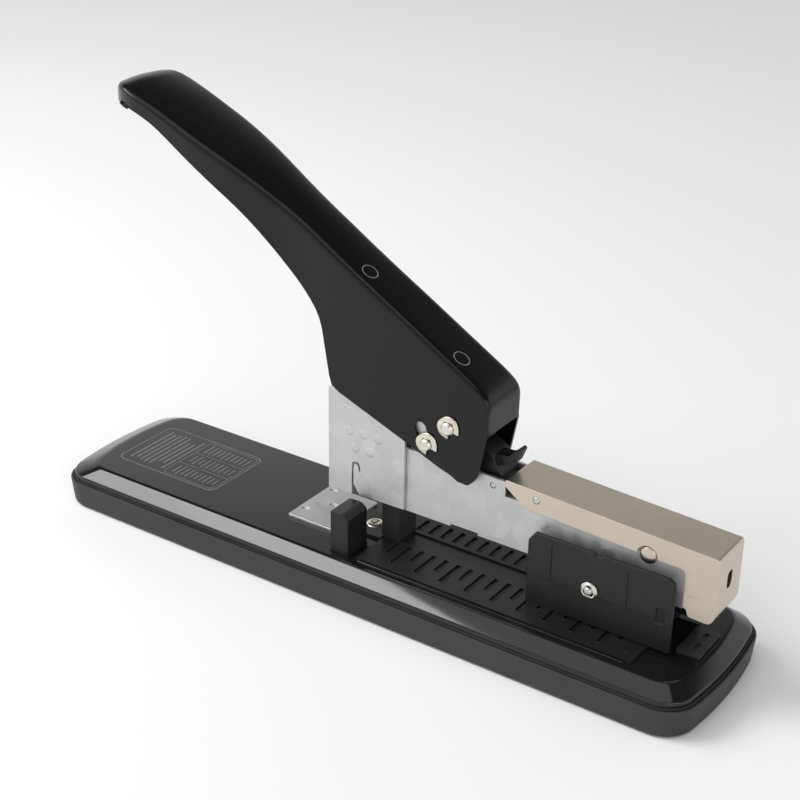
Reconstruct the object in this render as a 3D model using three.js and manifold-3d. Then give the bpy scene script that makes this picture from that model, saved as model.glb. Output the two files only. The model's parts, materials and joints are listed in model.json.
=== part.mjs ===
// Heavy-duty block stapler for 13 mm crown staples. Millimetres, +X towards the nose, +Z up.
// The origin is the middle of the underside. Heights of the upper works are measured from the
// deck, the flat top of the base, so each outline below is drawn from there.
import * as THREE from "three";
import { mergeVertices } from "three/addons/utils/BufferGeometryUtils.js";
import Module from "manifold-3d";

const wasm = await Module();
wasm.setup();

// ---------------------------------------------------------------- driving dimensions
const BASE = { length: 291, width: 71, height: 18, endBow: 3.6, corner: 13 };
const SKIRT = { foot: 0.5, lip: 11.4, floor: 2, flare: 0.8, wall: 4.4, ledge: 1.2 };
const SHELL = { inset: 1.6, shoulder: 6.3, rearShoulder: 4.6, rim: 12, flat: 0.3, sheet: 1.5 };
const FOOT = { radius: 6, height: 1.4, setback: 26.5, spread: 20 };
const NOSE_SETBACK = 4.9; // from the base's front edge back to the nose's front face
const THROAT = 17.6; // from the deck up to the underside of the arm
const UNDERSIDE = 17.6; // the same height in the outlines of the upper works
const ARM_WIDTH = 16.4; // outside width of the staple channel
const SHEET = { arm: 1.2, stand: 1.2, handle: 1.1, cover: 1, bracket: 1.2, lever: 0.8 };
const GAP = { slide: 0.2, turn: 0.3, cover: 0.4, guide: 0.4, pin: 0.08, rest: 0.3, button: 2.9 };
const PIN = { axle: 2.5, limit: 2.3, pivot: 2.4, cover: 1.3, release: 1.2, neck: 1.9, clip: 0.9 };
const HANDLE_AXLE = { x: 33.9, z: 59.4 };
const ARM_PIVOT = { x: -7, z: 29 };
const LIMIT = { reach: 12.9, rest: 225.6, travel: 28 }; // about the axle, in degrees
const COVER = { rear: 57.3, hinge: 12.9, roof: 45.2, edge: 36.2, drop: 3.71, rivet: 26.5 };
const RELEASE = { x: 51.5, z: 40.5, width: 11, fin: 6 };
const GRIP = { half: 16.6, start: -28, tip: -123.6, taper: 18 };
const RAIL = { start: 2.6, back: 22, margin: 3.1, height: 0.9, floor: 0.3, groove: 4.2 };
const SLOT = { pitch: 5.5, width: 1.6, start: 7.6, inner: 6.5, far: 14, near: 15, long: 20.3 };
const GUIDE = { front: 13.6, length: 57, plate: 1.7, ear: 1.8, low: 1.4, top: 30.5, reach: 9 };
Object.assign(GUIDE, { pin: 45.2, pinHeight: 15.4, pinRadius: 1.6, clip: 3.3 });
const MAGAZINE = { width: 9.8, height: 8.5, sheet: 1, tail: 90 };
const PUSHER = { length: 9, height: 9.8 };
const BLADE = { setback: 7.6, thick: 1.2, half: 6.4, low: 28.8 };
const BUTTON = { x: -4.85, length: 8.3, width: 12.5, top: 17.4, collar: 1.2, depth: 6 };
const BRACKET = { rear: 1.5, front: 9.5, back: -14, foot: 8, flange: 1.4, head: 12 };
const SCREW = { x: -5.6, head: 3.9, shank: 2, rise: 3 };
const PLATE = { rear: -38, front: -14.3, half: 14, sheet: 1.2 };
const CLIP = { radius: 4.8, mouth: -55, land: 1.1 };
const SPRING = { axle: 1.2, pusher: 0.8, button: 0.9 };

// ---------------------------------------------------------------- sizes that follow
const deck = BASE.height;
const deckHalf = BASE.width / 2 - SHELL.inset - SHELL.shoulder;
const railHalf = deckHalf - RAIL.margin;
const noseX = BASE.length / 2 - NOSE_SETBACK;
const armHalf = ARM_WIDTH / 2;
const armInner = armHalf - SHEET.arm;
const standInner = armHalf + GAP.slide;
const standHalf = standInner + SHEET.stand;
const handleInner = standHalf + GAP.turn;
const handleHalf = handleInner + SHEET.handle;
const coverInner = armHalf + GAP.cover;
const coverHalf = coverInner + SHEET.cover;
const earInner = coverHalf + GAP.guide;
const plateInner = earInner + GUIDE.ear;
const plateHalf = plateInner + GUIDE.plate;
const leverHalf = armInner - GAP.turn / 2;
const bracketHalf = leverHalf - SHEET.lever - GAP.turn / 2;
const armFront = noseX - 12.6;
const raise = THROAT - UNDERSIDE; // how far the upper works are lifted from where they are drawn
const armFloor = UNDERSIDE + SHEET.arm;
const magazineTop = armFloor + MAGAZINE.height;
const bladeX = noseX - BLADE.setback;
const coverHinge = { x: COVER.rear + COVER.hinge, z: 40.9 };
const limitPin = polar(HANDLE_AXLE, LIMIT.reach, LIMIT.rest);
const buttonY = -(standHalf + GAP.button + BUTTON.width / 2);
const guideX = { rear: noseX - GUIDE.front - GUIDE.length, front: noseX - GUIDE.front };

// ---------------------------------------------------------------- finishes
const finish = (color, roughness, metalness) =>
  new THREE.MeshStandardMaterial({ color, roughness, metalness });
const FINISH = {
  skirt: finish(0x464646, 0.7, 0),
  gloss: finish(0x1c1c1b, 0.22, 0.1),
  plastic: finish(0x2a2a2a, 0.5, 0),
  rubber: finish(0x1a1a1a, 0.9, 0),
  zinc: finish(0xbabdbe, 0.4, 0.9),
  nickel: finish(0xc3b6aa, 0.28, 1),
  steel: finish(0x9a9a98, 0.35, 1),
  dark: finish(0x2b2a29, 0.45, 0.8),
};

// ---------------------------------------------------------------- making solids
const X = new THREE.Vector3(1, 0, 0);
const Y = new THREE.Vector3(0, 1, 0);
const Z = new THREE.Vector3(0, 0, 1);

function polar(centre, radius, degrees) {
  const angle = THREE.MathUtils.degToRad(degrees);
  return { x: centre.x + radius * Math.cos(angle), z: centre.z + radius * Math.sin(angle) };
}

// A closed geometry becomes a solid once its shared corners are one and its slivers are gone.
function solid(geometry) {
  const loose = geometry.index ? geometry.toNonIndexed() : geometry;
  const bare = new THREE.BufferGeometry();
  bare.setAttribute("position", loose.getAttribute("position"));
  const merged = mergeVertices(bare, 1e-4);
  const kept = [];
  const index = merged.index.array;
  for (let i = 0; i < index.length; i += 3) {
    const [a, b, c] = [index[i], index[i + 1], index[i + 2]];
    if (a !== b && b !== c && c !== a) kept.push(a, b, c);
  }
  return new wasm.Manifold(
    new wasm.Mesh({
      numProp: 3,
      vertProperties: merged.attributes.position.array,
      triVerts: new Uint32Array(kept),
    }),
  );
}

function join(...solids) {
  return solids.reduce((sum, next) => sum.add(next));
}

function cut(body, ...tools) {
  return tools.reduce((rest, tool) => rest.subtract(tool), body);
}

// An outline of [across, up] or [across, up, rounding] corners.
function outline(points) {
  const shape = new THREE.Shape();
  const count = points.length;
  const corner = (i) => new THREE.Vector2(points[i][0], points[i][1]);
  points.forEach(([x, y, rounding = 0], i) => {
    const back = corner((i + count - 1) % count).sub(corner(i));
    const on = corner((i + 1) % count).sub(corner(i));
    const reach = Math.min(rounding, back.length() / 2, on.length() / 2);
    const start = corner(i).add(back.setLength(reach));
    const end = corner(i).add(on.setLength(reach));
    if (i === 0) shape.moveTo(start.x, start.y);
    else shape.lineTo(start.x, start.y);
    if (reach > 0) shape.quadraticCurveTo(x, y, end.x, end.y);
  });
  shape.closePath();
  return shape;
}

function box2(x0, y0, x1, y1, rounding = 0) {
  return outline([
    [x0, y0, rounding],
    [x1, y0, rounding],
    [x1, y1, rounding],
    [x0, y1, rounding],
  ]);
}

function disc(x, y, radius) {
  const shape = new THREE.Shape();
  shape.absarc(x, y, radius, 0, 2 * Math.PI);
  return shape;
}

function extrude(shape, depth, basis, offset, curveSegments) {
  const geometry = new THREE.ExtrudeGeometry(shape, {
    depth,
    bevelEnabled: false,
    curveSegments,
  });
  geometry.applyMatrix4(basis.setPosition(offset));
  return solid(geometry);
}

// Side outlines are drawn in X and height above the deck, and run from y0 to y1.
function side(shape, y0, y1, curveSegments = 3) {
  const basis = new THREE.Matrix4().makeBasis(X, Z, Y.clone().negate());
  return extrude(shape, y1 - y0, basis, new THREE.Vector3(0, y1, deck), curveSegments);
}

// Plan outlines are drawn in X and Y, and run between two heights above the deck.
function plan(shape, z0, z1, curveSegments = 3) {
  const offset = new THREE.Vector3(0, 0, deck + z0);
  return extrude(shape, z1 - z0, new THREE.Matrix4(), offset, curveSegments);
}

// Cross-sections are drawn in Y and height above the deck, and run from x0 to x1.
function section(shape, x0, x1, curveSegments = 3) {
  const basis = new THREE.Matrix4().makeBasis(Y, Z, X);
  return extrude(shape, x1 - x0, basis, new THREE.Vector3(x0, 0, deck), curveSegments);
}

function block(x0, x1, y0, y1, z0, z1) {
  return plan(box2(x0, y0, x1, y1), z0, z1);
}

// A turned piece: its profile holds [radius, along] pairs, and starts and ends on the axis.
function turned(profile, at, along, segments = 16) {
  const points = profile.map(([radius, height]) => new THREE.Vector2(radius, height));
  const geometry = new THREE.LatheGeometry(points, segments);
  const turn = new THREE.Quaternion().setFromUnitVectors(Y, along);
  geometry.applyQuaternion(turn);
  geometry.translate(at.x, at.y, at.z);
  return solid(geometry);
}

// A pin across the stapler, with an optional clip groove near either end.
function crossPin(at, radius, y0, y1, grooves = []) {
  const profile = [[0, y0]];
  const chamfer = 0.3;
  profile.push([radius - chamfer, y0], [radius, y0 + chamfer]);
  for (const [from, to] of grooves) {
    profile.push([radius, from], [PIN.neck, from], [PIN.neck, to], [radius, to]);
  }
  profile.push([radius, y1 - chamfer], [radius - chamfer, y1], [0, y1]);
  return turned(profile, new THREE.Vector3(at.x, 0, deck + at.z), Y);
}

function crossHole(at, radius, y0, y1) {
  return side(disc(at.x, at.z, radius), y0, y1, 8);
}

// A retaining clip: a flat ring with a mouth, three grip lobes and two plier holes.
function clip(at, outer, mouth, y0) {
  const shape = disc(0, 0, outer);
  const body = side(shape, 0, PIN.clip, 10);
  const bore = crossHole({ x: 0, z: 0 }, PIN.neck + GAP.pin, -1, 2);
  const slot = side(box2(0, -PIN.neck * 0.8, outer + 1, PIN.neck * 0.8), -1, 2);
  const eye = (angle) => polar({ x: 0, z: 0 }, outer * 0.68, angle);
  const eyes = [120, 240].map((angle) => crossHole(eye(angle), 0.55, -1, 2));
  return cut(body, bore, slot, ...eyes)
    .translate([0, 0, -deck])
    .rotate([0, -mouth, 0])
    .translate([at.x, y0, deck + at.z]);
}

class Helix extends THREE.Curve {
  constructor(centre, axis, across, radius, length, turns) {
    super();
    Object.assign(this, { centre, axis, across, radius, length, turns });
    this.third = axis.clone().cross(across);
  }
  getPoint(t, target = new THREE.Vector3()) {
    const angle = 2 * Math.PI * this.turns * t;
    return target
      .copy(this.centre)
      .addScaledVector(this.axis, this.length * t)
      .addScaledVector(this.across, this.radius * Math.cos(angle))
      .addScaledVector(this.third, this.radius * Math.sin(angle));
  }
}

function coil(curve, wire, stepsPerTurn = 9) {
  const geometry = new THREE.ExtrudeGeometry(disc(0, 0, wire / 2), {
    steps: Math.ceil(curve.turns * stepsPerTurn),
    extrudePath: curve,
    curveSegments: 3,
  });
  return solid(geometry);
}

// A stack of equal rings of points, from bottom to top, closed at both ends by their middles.
function loft(rings) {
  const corners = [];
  const triangle = (a, b, c) => corners.push(...a.toArray(), ...b.toArray(), ...c.toArray());
  const size = rings[0].length;
  for (let r = 0; r + 1 < rings.length; r += 1) {
    for (let i = 0; i < size; i += 1) {
      const j = (i + 1) % size;
      triangle(rings[r][i], rings[r][j], rings[r + 1][j]);
      triangle(rings[r][i], rings[r + 1][j], rings[r + 1][i]);
    }
  }
  const middle = (ring) => new THREE.Vector3(0, 0, ring[0].z);
  const first = rings[0];
  const last = rings[rings.length - 1];
  for (let i = 0; i < size; i += 1) {
    const j = (i + 1) % size;
    triangle(middle(first), first[j], first[i]);
    triangle(middle(last), last[i], last[j]);
  }
  const geometry = new THREE.BufferGeometry();
  geometry.setAttribute("position", new THREE.Float32BufferAttribute(corners, 3));
  return solid(geometry);
}

const group = new THREE.Group();

function add(name, body, material) {
  const found = body.getMesh();
  const geometry = new THREE.BufferGeometry();
  geometry.setAttribute("position", new THREE.BufferAttribute(found.vertProperties, 3));
  geometry.setIndex(new THREE.BufferAttribute(found.triVerts, 1));
  const mesh = new THREE.Mesh(geometry.toNonIndexed(), material);
  mesh.geometry.computeVertexNormals();
  mesh.name = name;
  group.add(mesh);
}

const SIDES = [
  ["near", -1],
  ["far", 1],
];

// Mirrors a span given for the far side onto either side.
const span = (sign, inner, outer) => (sign > 0 ? [inner, outer] : [-outer, -inner]);

// ---------------------------------------------------------------- base
// The base's outline in plan: straight sides, bowed ends and round corners. The rear end can be
// drawn in further than the rest.
function baseRing(inset, z, rear = 0) {
  const half = { x: BASE.length / 2 - inset, y: BASE.width / 2 - inset };
  const corner = Math.max(BASE.corner - inset * 0.6, 2);
  const slope = (2 * BASE.endBow) / half.y;
  const lean = Math.atan(slope * 0.8);
  const turnY = half.y - corner * (1 - Math.sin(lean));
  const turnX = half.x - BASE.endBow * (turnY / half.y) ** 2;
  const quarter = [];
  for (let i = 0; i < 5; i += 1) {
    const y = (turnY * i) / 5;
    quarter.push([half.x - BASE.endBow * (y / half.y) ** 2, y]);
  }
  for (let i = 0; i <= 6; i += 1) {
    const angle = lean + ((Math.PI / 2 - lean) * i) / 6;
    quarter.push([
      turnX - corner * (Math.cos(lean) - Math.cos(angle)),
      turnY + corner * (Math.sin(angle) - Math.sin(lean)),
    ]);
  }
  const halfRing = [...quarter, ...quarter.slice(1).reverse().map(([x, y]) => [-x, y])];
  const mirrored = halfRing.slice(1).reverse().map(([x, y]) => [x, -y]);
  const ring = [...halfRing, [-half.x, 0], ...mirrored];
  return ring.map(([x, y]) => new THREE.Vector3(x < 0 ? x + rear : x, y, z));
}

// The skirt flares outwards as it rises, and the shell rests on the ledge inside its lip.
function baseSkirt() {
  const { foot, lip, floor, flare, wall, ledge } = SKIRT;
  const outer = loft([
    baseRing(flare + 0.5, foot),
    baseRing(flare, foot + 1.2),
    baseRing(0, lip),
  ]);
  const step = loft([baseRing(ledge, lip - 1), baseRing(ledge, SHELL.rim)]);
  const hollow = loft([baseRing(wall, foot + floor), baseRing(wall, BASE.height)]);
  const bores = footPlaces().map(([x, y]) => footBore(x, y));
  return cut(join(outer, step), hollow, ...bores);
}

function footPlaces() {
  const x = BASE.length / 2 - FOOT.setback;
  const y = FOOT.spread;
  return [
    [-x, -y],
    [-x, y],
    [x, -y],
    [x, y],
  ];
}

function footBore(x, y) {
  return plan(disc(x, y, FOOT.radius + GAP.slide), -deck - 1, -deck + FOOT.height, 12);
}

function rubberFoot(x, y) {
  const profile = [
    [0, 0],
    [FOOT.radius - 0.6, 0],
    [FOOT.radius, 0.6],
    [FOOT.radius, FOOT.height],
    [0, FOOT.height],
  ];
  return turned(profile, new THREE.Vector3(x, y, 0), Z);
}

// A pressed cap: an upright rim, then a slanting, rounded shoulder up to the deck, longer behind.
function baseShell() {
  const { inset, shoulder, rearShoulder, rim, flat, sheet } = SHELL;
  const rise = BASE.height - rim;
  const upright = 0.12;
  const steps = 5;
  const rings = [baseRing(inset, rim)];
  const inner = [baseRing(inset + sheet, rim - 1)];
  for (let i = 0; i <= steps; i += 1) {
    const angle = (Math.PI / 2) * (i / steps);
    const across = 1 - Math.cos(angle);
    const round = (1 - flat) * Math.sin(angle) + flat * across;
    const up = rim + rise * (upright + (1 - upright) * round);
    const drawn = inset + shoulder * across;
    rings.push(baseRing(drawn, up, rearShoulder * across));
    inner.push(baseRing(drawn + sheet, i === 0 ? up : up - sheet, rearShoulder * across));
  }
  const button = plan(buttonOutline(GAP.rest), -BASE.height, 1);
  const screwHole = plan(disc(SCREW.x, 0, SCREW.shank + GAP.slide), -BASE.height, 1, 10);
  return cut(loft(rings), loft(inner), button, screwHole);
}

// ---------------------------------------------------------------- on the deck
function railEnd() {
  return noseX - RAIL.back;
}

// The bed under the paper: a centre groove, and a comb of slots on either side of it. The slots
// of the near row are long and short by turns.
function slotRail() {
  const { start, height, floor, groove } = RAIL;
  const bed = plan(box2(start, -railHalf, railEnd(), railHalf, 1), 0, height);
  const room = bracketHalf + GAP.rest;
  const tools = [block(start + 7.4, railEnd() + 1, -groove, groove, floor, 5)];
  tools.push(block(start - 1, BRACKET.front + GAP.rest, -room, room, -1, 5));
  const half = SLOT.width / 2;
  const last = railEnd() - 4;
  for (let x = start + SLOT.start, i = 0; x < last; x += SLOT.pitch, i += 1) {
    const near = i % 2 === 1 ? SLOT.long : SLOT.near;
    tools.push(block(x - half, x + half, SLOT.inner, SLOT.far, floor, 5));
    tools.push(block(x - half, x + half, -near, -SLOT.inner, floor, 5));
  }
  return cut(bed, ...tools);
}

// A small plate with three lances that lies on the deck behind the stand.
function footPlate() {
  const { rear, front, half, sheet } = PLATE;
  const plate = plan(box2(rear, -half, front, half, 0.8), 0, sheet);
  const lances = [
    [rear + 3, -6.5],
    [rear + 3.5, 13 - 1.4],
    [rear + 10.5, 2],
  ];
  const tools = lances.map(([x, y]) => block(x - 1.6, x + 1.6, y - 0.9, y + 0.9, 0.5, 3));
  return cut(plate, ...tools);
}

function anvil() {
  const centre = bladeX - 0.4;
  const plate = plan(box2(centre - 5, -9, centre + 4, 9, 0.8), 0, 1.2);
  const pocket = (y) => plan(box2(centre - 1, y - 2.6, centre + 1, y + 2.6, 0.9), 0.7, 2);
  return cut(plate, pocket(-3.6), pocket(3.6));
}

function deckScrew(x, y, rest) {
  const profile = [
    [0, -4],
    [SCREW.shank, -4],
    [SCREW.shank, 0],
    [SCREW.head, 0],
    [SCREW.head, 0.7],
    [SCREW.head * 0.8, SCREW.rise * 0.5],
    [1.5, SCREW.rise * 0.55],
    [1.1, SCREW.rise * 0.2],
    [0, SCREW.rise * 0.2],
  ];
  return turned(profile, new THREE.Vector3(x, y, deck + rest), Z);
}

function buttonOutline(clear) {
  const half = { x: BUTTON.length / 2 + clear, y: BUTTON.width / 2 + clear };
  const { x } = BUTTON;
  return box2(x - half.x, buttonY - half.y, x + half.x, buttonY + half.y, 0.6);
}

// A push block with a sloping top, kept from falling out by a longer collar under the deck.
function lockButton() {
  const { top, collar, depth } = BUTTON;
  const [rear, front] = [BUTTON.x - BUTTON.length / 2, BUTTON.x + BUTTON.length / 2];
  const half = BUTTON.width / 2;
  const stem = plan(buttonOutline(0), -depth, top + 1);
  const crown = side(
    outline([
      [rear - 1, -depth - 1],
      [front + 1, -depth - 1],
      [front + 1, top - 2.8, 1],
      [front - 2.6, top, 1.2],
      [rear - 1, top - 0.4],
    ]),
    buttonY - 2 * half,
    buttonY + 2 * half,
  );
  const [y0, y1] = [buttonY - half, buttonY + half];
  const rim = block(rear - collar, front + collar, y0, y1, -depth, 1.5 - depth);
  return join(stem.intersect(crown), rim);
}

function buttonSpring() {
  const floor = -deck + SKIRT.foot + SKIRT.floor;
  const half = SPRING.button / 2;
  const centre = new THREE.Vector3(BUTTON.x, buttonY, deck + floor + half + 0.1);
  const length = -BUTTON.depth - floor - 2 * half - 0.2;
  return coil(new Helix(centre, Z, X, 2.4, length, 4), SPRING.button);
}

// ---------------------------------------------------------------- stand
// The inner bracket: a foot under the deck screw, a narrow post, and a head that carries the
// arm's pivot and is clinched to the stand's walls.
function supportBracket() {
  const { rear, front, back, foot, flange, head } = BRACKET;
  const shoulder = ARM_PIVOT.z + 5.8;
  const headTop = shoulder + head;
  const cheek = outline([
    [rear, 0.6 - raise],
    [front, 0.6 - raise],
    [front, shoulder + 1.2],
    [back, shoulder + 1.2],
    [back, 20.5, 4],
    [rear, 20.5],
  ]);
  const wing = outline([
    [front, shoulder],
    [front, headTop, 3],
    [back, headTop, 3],
    [back, shoulder],
  ]);
  const sheet = SHEET.bracket;
  const post = bracketHalf;
  const end = RAIL.start - GAP.rest;
  const parts = [plan(box2(back, -foot, end, foot, 0.8), -raise, flange - raise)];
  parts.push(block(rear, front, -post, post, -raise, flange - raise));
  parts.push(block(front - sheet, front, -post, post, 0.6 - raise, shoulder + sheet));
  for (const [, sign] of SIDES) {
    const ledge = span(sign, post - sheet, standInner);
    parts.push(side(cheek, ...span(sign, post - sheet, post)));
    parts.push(side(wing, ...span(sign, standInner - sheet, standInner)));
    parts.push(block(back, front, ...ledge, shoulder, shoulder + sheet));
  }
  const pivot = crossHole(ARM_PIVOT, PIN.pivot + GAP.pin, -20, 20);
  const hole = disc(SCREW.x, 0, SCREW.shank + GAP.slide);
  return cut(join(...parts), pivot, plan(hole, -raise - 1, flange + 0.2 - raise, 10));
}

// The stand: two walls and a back, from the paper throat up inside the handle to its axle.
function stand() {
  const wall = outline([
    [-21, 17],
    [-10.2, 17.6],
    [-10.2, 22.2],
    [-9.4, 22.2],
    [-6.6, 18],
    [14, 18.3],
    [14, 49.5],
    [21, 46.5],
    [38, 46.5, 3],
    [42, 52, 3],
    [42, 64, 3],
    [36, 68, 3],
    [0, 74, 3],
    [-14, 70, 3],
    [-18.6, 62],
    [-21, 59.5],
  ]);
  const slit = outline([
    [-10.2, 22],
    [-9.4, 22],
    [-9.2, 30.8, 1],
    [-7.4, 30.8, 0.8],
    [-6.9, 28],
    [-6.1, 28],
    [-6.4, 31.8, 1.6],
    [-10, 31.8, 1.6],
  ]);
  const parts = SIDES.map(([, sign]) => side(wall, ...span(sign, standInner, standHalf)));
  parts.push(block(-21, -21 + SHEET.stand, -standHalf, standHalf, 17, 59));
  const tools = [side(slit, -20, 20)];
  tools.push(crossHole(HANDLE_AXLE, PIN.axle + GAP.pin, -20, 20));
  tools.push(crossHole(limitPin, PIN.limit + GAP.pin, -20, 20));
  return cut(join(...parts), ...tools);
}

function handleAxle() {
  const face = handleHalf + GAP.slide;
  const end = face + PIN.clip + CLIP.land;
  const groove = face + PIN.clip + 0.1;
  return crossPin(HANDLE_AXLE, PIN.axle, -end, end, [
    [-groove, -face + 0.1],
    [face - 0.1, groove],
  ]);
}

function limitStub(sign) {
  const face = handleHalf + GAP.slide;
  const end = face + PIN.clip + CLIP.land;
  const groove = [face - 0.1, face + PIN.clip + 0.1];
  const [y0, y1] = span(sign, standInner - SHEET.stand, end);
  return crossPin(limitPin, PIN.limit, y0, y1, [span(sign, ...groove)]);
}

function axleClip(at, sign) {
  const face = handleHalf + GAP.slide;
  return clip(at, CLIP.radius, CLIP.mouth, sign > 0 ? face : -face - PIN.clip);
}

function handleSpring(sign) {
  const [y0, y1] = span(sign, CAM_BOSS + GAP.turn + SPRING.axle / 2, standInner - SPRING.axle);
  const centre = new THREE.Vector3(HANDLE_AXLE.x, y0, deck + HANDLE_AXLE.z);
  const radius = PIN.axle + GAP.turn + SPRING.axle / 2;
  return coil(new Helix(centre, Y, X, radius, y1 - y0, 2.75), SPRING.axle);
}

// ---------------------------------------------------------------- handle
// The handle's side outline, from the front lobe back over the top to the grip and forward again.
const HANDLE_SIDE = [
  [50, 60.4],
  [50.3, 73.5, 6],
  [45.2, 77.7, 5],
  [-10.7, 110.6, 14],
  [-32.1, 124.1, 14],
  [-58.8, 138.8, 14],
  [-73, 145.6, 14],
  [-98, 156.6, 14],
  [-115, 162.9, 6],
  [-123.4, 158.8, 3],
  [-121.2, 155, 3],
  [-112, 154.1, 6],
  [-98.2, 149.6, 14],
  [-74.8, 134.4, 14],
  [-56.1, 121.6, 14],
  [-40.9, 107.5, 14],
  [-30.4, 97, 10],
  [-23.7, 88.2, 10],
  [-18.9, 61.1, 3],
  [15.2, 48, 3],
  [30.6, 41.8, 1.5],
  [35, 40.7, 4],
  [41, 37.2, 4],
  [46.6, 42.4, 4],
];

function gripWidth(x) {
  const along = THREE.MathUtils.clamp((GRIP.start - x) / 55, 0, 1);
  const flare = along * along * (3 - 2 * along);
  const tip = THREE.MathUtils.clamp((GRIP.tip + GRIP.taper - x) / GRIP.taper, 0, 1);
  return (handleHalf + (GRIP.half - handleHalf) * flare) * Math.sqrt(Math.max(1 - tip * tip, 0.05));
}

function gripPlan(inset) {
  const stations = [60, GRIP.start + 8];
  for (let x = GRIP.start; x > GRIP.tip + GRIP.taper; x -= 8) stations.push(x);
  for (const back of [14, 9, 5, 2, 0]) stations.push(GRIP.tip + back);
  const right = stations.map((x) => [x, Math.max(gripWidth(x) - inset, 1)]);
  const left = right.map(([x, y]) => [x, -y]).reverse();
  return outline([...right, ...left]);
}

function movedOutline(points, dx, dz) {
  return points.map(([x, z, r = 0]) => [x + dx, z + dz, r]);
}

function handleShell() {
  const shape = outline(HANDLE_SIDE);
  const wide = GRIP.half + 2;
  const outer = side(shape, -wide, wide, 4).intersect(plan(gripPlan(0), 0, 200));
  // the hollow follows the outline a sheet's thickness in, and is open underneath
  const [lift, lower] = [SHEET.handle + 0.9, 14];
  const cap = side(outline(movedOutline(HANDLE_SIDE, -1.2, -lift)), -wide, wide, 4);
  const under = side(outline(movedOutline(HANDLE_SIDE, -1.2, -lift - lower)), -wide, wide, 4);
  const rearEnd = side(box2(-104, 30, 80, 200), -wide, wide);
  const hollow = join(cap, under).intersect(rearEnd).intersect(plan(gripPlan(SHEET.handle), 0, 200));
  const frontGap = block(30, 60, -handleInner, handleInner, 20, 60);
  const slot = limitSlot();
  const axle = crossHole(HANDLE_AXLE, PIN.axle + GAP.pin, -20, 20);
  return cut(outer, hollow, frontGap, slot, axle);
}

// The curved slot that runs over the limit pin as the handle turns.
function limitSlot() {
  const shape = new THREE.Shape();
  const half = PIN.limit + GAP.turn;
  const rad = THREE.MathUtils.degToRad;
  const [from, to] = [LIMIT.rest + 0.6, LIMIT.rest - LIMIT.travel - 0.6];
  const { x, z } = HANDLE_AXLE;
  const [a, b] = [rad(to), rad(from)];
  shape.absarc(x, z, LIMIT.reach + half, a, b, false);
  const low = polar(HANDLE_AXLE, LIMIT.reach, from);
  shape.absarc(low.x, low.z, half, b, b + Math.PI, false);
  shape.absarc(x, z, LIMIT.reach - half, b, a, true);
  const high = polar(HANDLE_AXLE, LIMIT.reach, to);
  shape.absarc(high.x, high.z, half, a + Math.PI, a + 2 * Math.PI, false);
  return side(shape, -20, 20, 5);
}

const CAM_BOSS = 2.9; // half the width of the cam's boss between its two springs

// The cam inside the handle: it turns on the axle and its nose presses the driver's hump.
function pressCam() {
  const half = standInner - 0.5;
  const { x, z } = HANDLE_AXLE;
  const shape = outline([
    [x + 5.4, z + 4, 3],
    [x + 4, z - 4.6, 3],
    [x - 4.4, z - 3.6, 2],
    [x - 8, z - 0.3, 2.4],
    [x - 13.4, z - 0.3, 3],
    [x - 16, z + 8, 3],
    [5, 94],
    [26, 82],
  ]);
  const roof = side(outline(movedOutline(HANDLE_SIDE, -1.2, -SHEET.handle - 1.2)), -20, 20, 6);
  const body = side(shape, -half, half).intersect(roof);
  return cut(body, crossHole(HANDLE_AXLE, PIN.axle + GAP.pin, -20, 20), springRoom());
}

function springRoom() {
  const room = PIN.axle + 2 * SPRING.axle + GAP.turn;
  const { x, z } = HANDLE_AXLE;
  const tail = box2(x, z - 10, x + 10, z + 1);
  const halves = SIDES.map(([, sign]) => {
    const [y0, y1] = span(sign, CAM_BOSS, 20);
    return join(crossHole(HANDLE_AXLE, room, y0, y1), side(tail, y0, y1));
  });
  return join(...halves);
}

// ---------------------------------------------------------------- arm
// The staple channel: a trough with two ears that reach back to the pivot.
function armChannel() {
  const low = UNDERSIDE;
  const wall = outline([
    [-13, 25.5, 5],
    [-1, 23.4, 4],
    [9, 19.5, 4],
    [14, low],
    [armFront, low],
    [armFront, 32.2],
    [armFront - 4, 37],
    [coverHinge.x + 4, 37],
    [coverHinge.x + 2.4, 39.4],
    [coverHinge.x + 2.2, 42.2, 1.6],
    [coverHinge.x - 2.2, 42.2, 1.6],
    [coverHinge.x - 2.4, 39],
    [coverHinge.x - 4.6, 37.6],
    [COVER.rear - 0.6, 37.6],
    [COVER.rear - 0.6, 43.4],
    [46.5, 43.8],
    [11.5, 43.8],
    [11.5, 34.2],
    [-13, 34.2, 5],
  ]);
  const notch = side(box2(34, low - 1, 46, low + 1), -20, 20);
  const walls = SIDES.map(([, sign]) => side(wall, ...span(sign, armInner, armHalf)));
  const floor = block(14, armFront, -armHalf, armHalf, low, armFloor);
  const tools = [notch];
  tools.push(crossHole(ARM_PIVOT, PIN.pivot + GAP.pin, -20, 20));
  tools.push(crossHole(coverHinge, PIN.cover + GAP.pin, -20, 20));
  tools.push(crossHole(RELEASE, PIN.release + GAP.pin, -20, 20));
  return cut(join(...walls, floor), ...tools);
}

function armPivotPin() {
  return crossPin(ARM_PIVOT, PIN.pivot, -armHalf, armHalf);
}

// The inner rail that the staples straddle: an inverted trough, slotted along its crown.
function magazineRail() {
  const half = MAGAZINE.width / 2;
  const tail = armFront - MAGAZINE.tail;
  const outer = block(tail, armFront - 0.6, -half, half, armFloor, magazineTop);
  const core = half - MAGAZINE.sheet;
  const inside = block(tail - 1, armFront + 1, -core, core, 0, magazineTop - MAGAZINE.sheet);
  const slot = block(tail + 12, armFront + 1, -1.2, 1.2, 0, 60);
  return cut(outer, inside, slot);
}

function pusherSpan() {
  return { rear: armFront - 1 - PUSHER.length, front: armFront - 1 };
}

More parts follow.
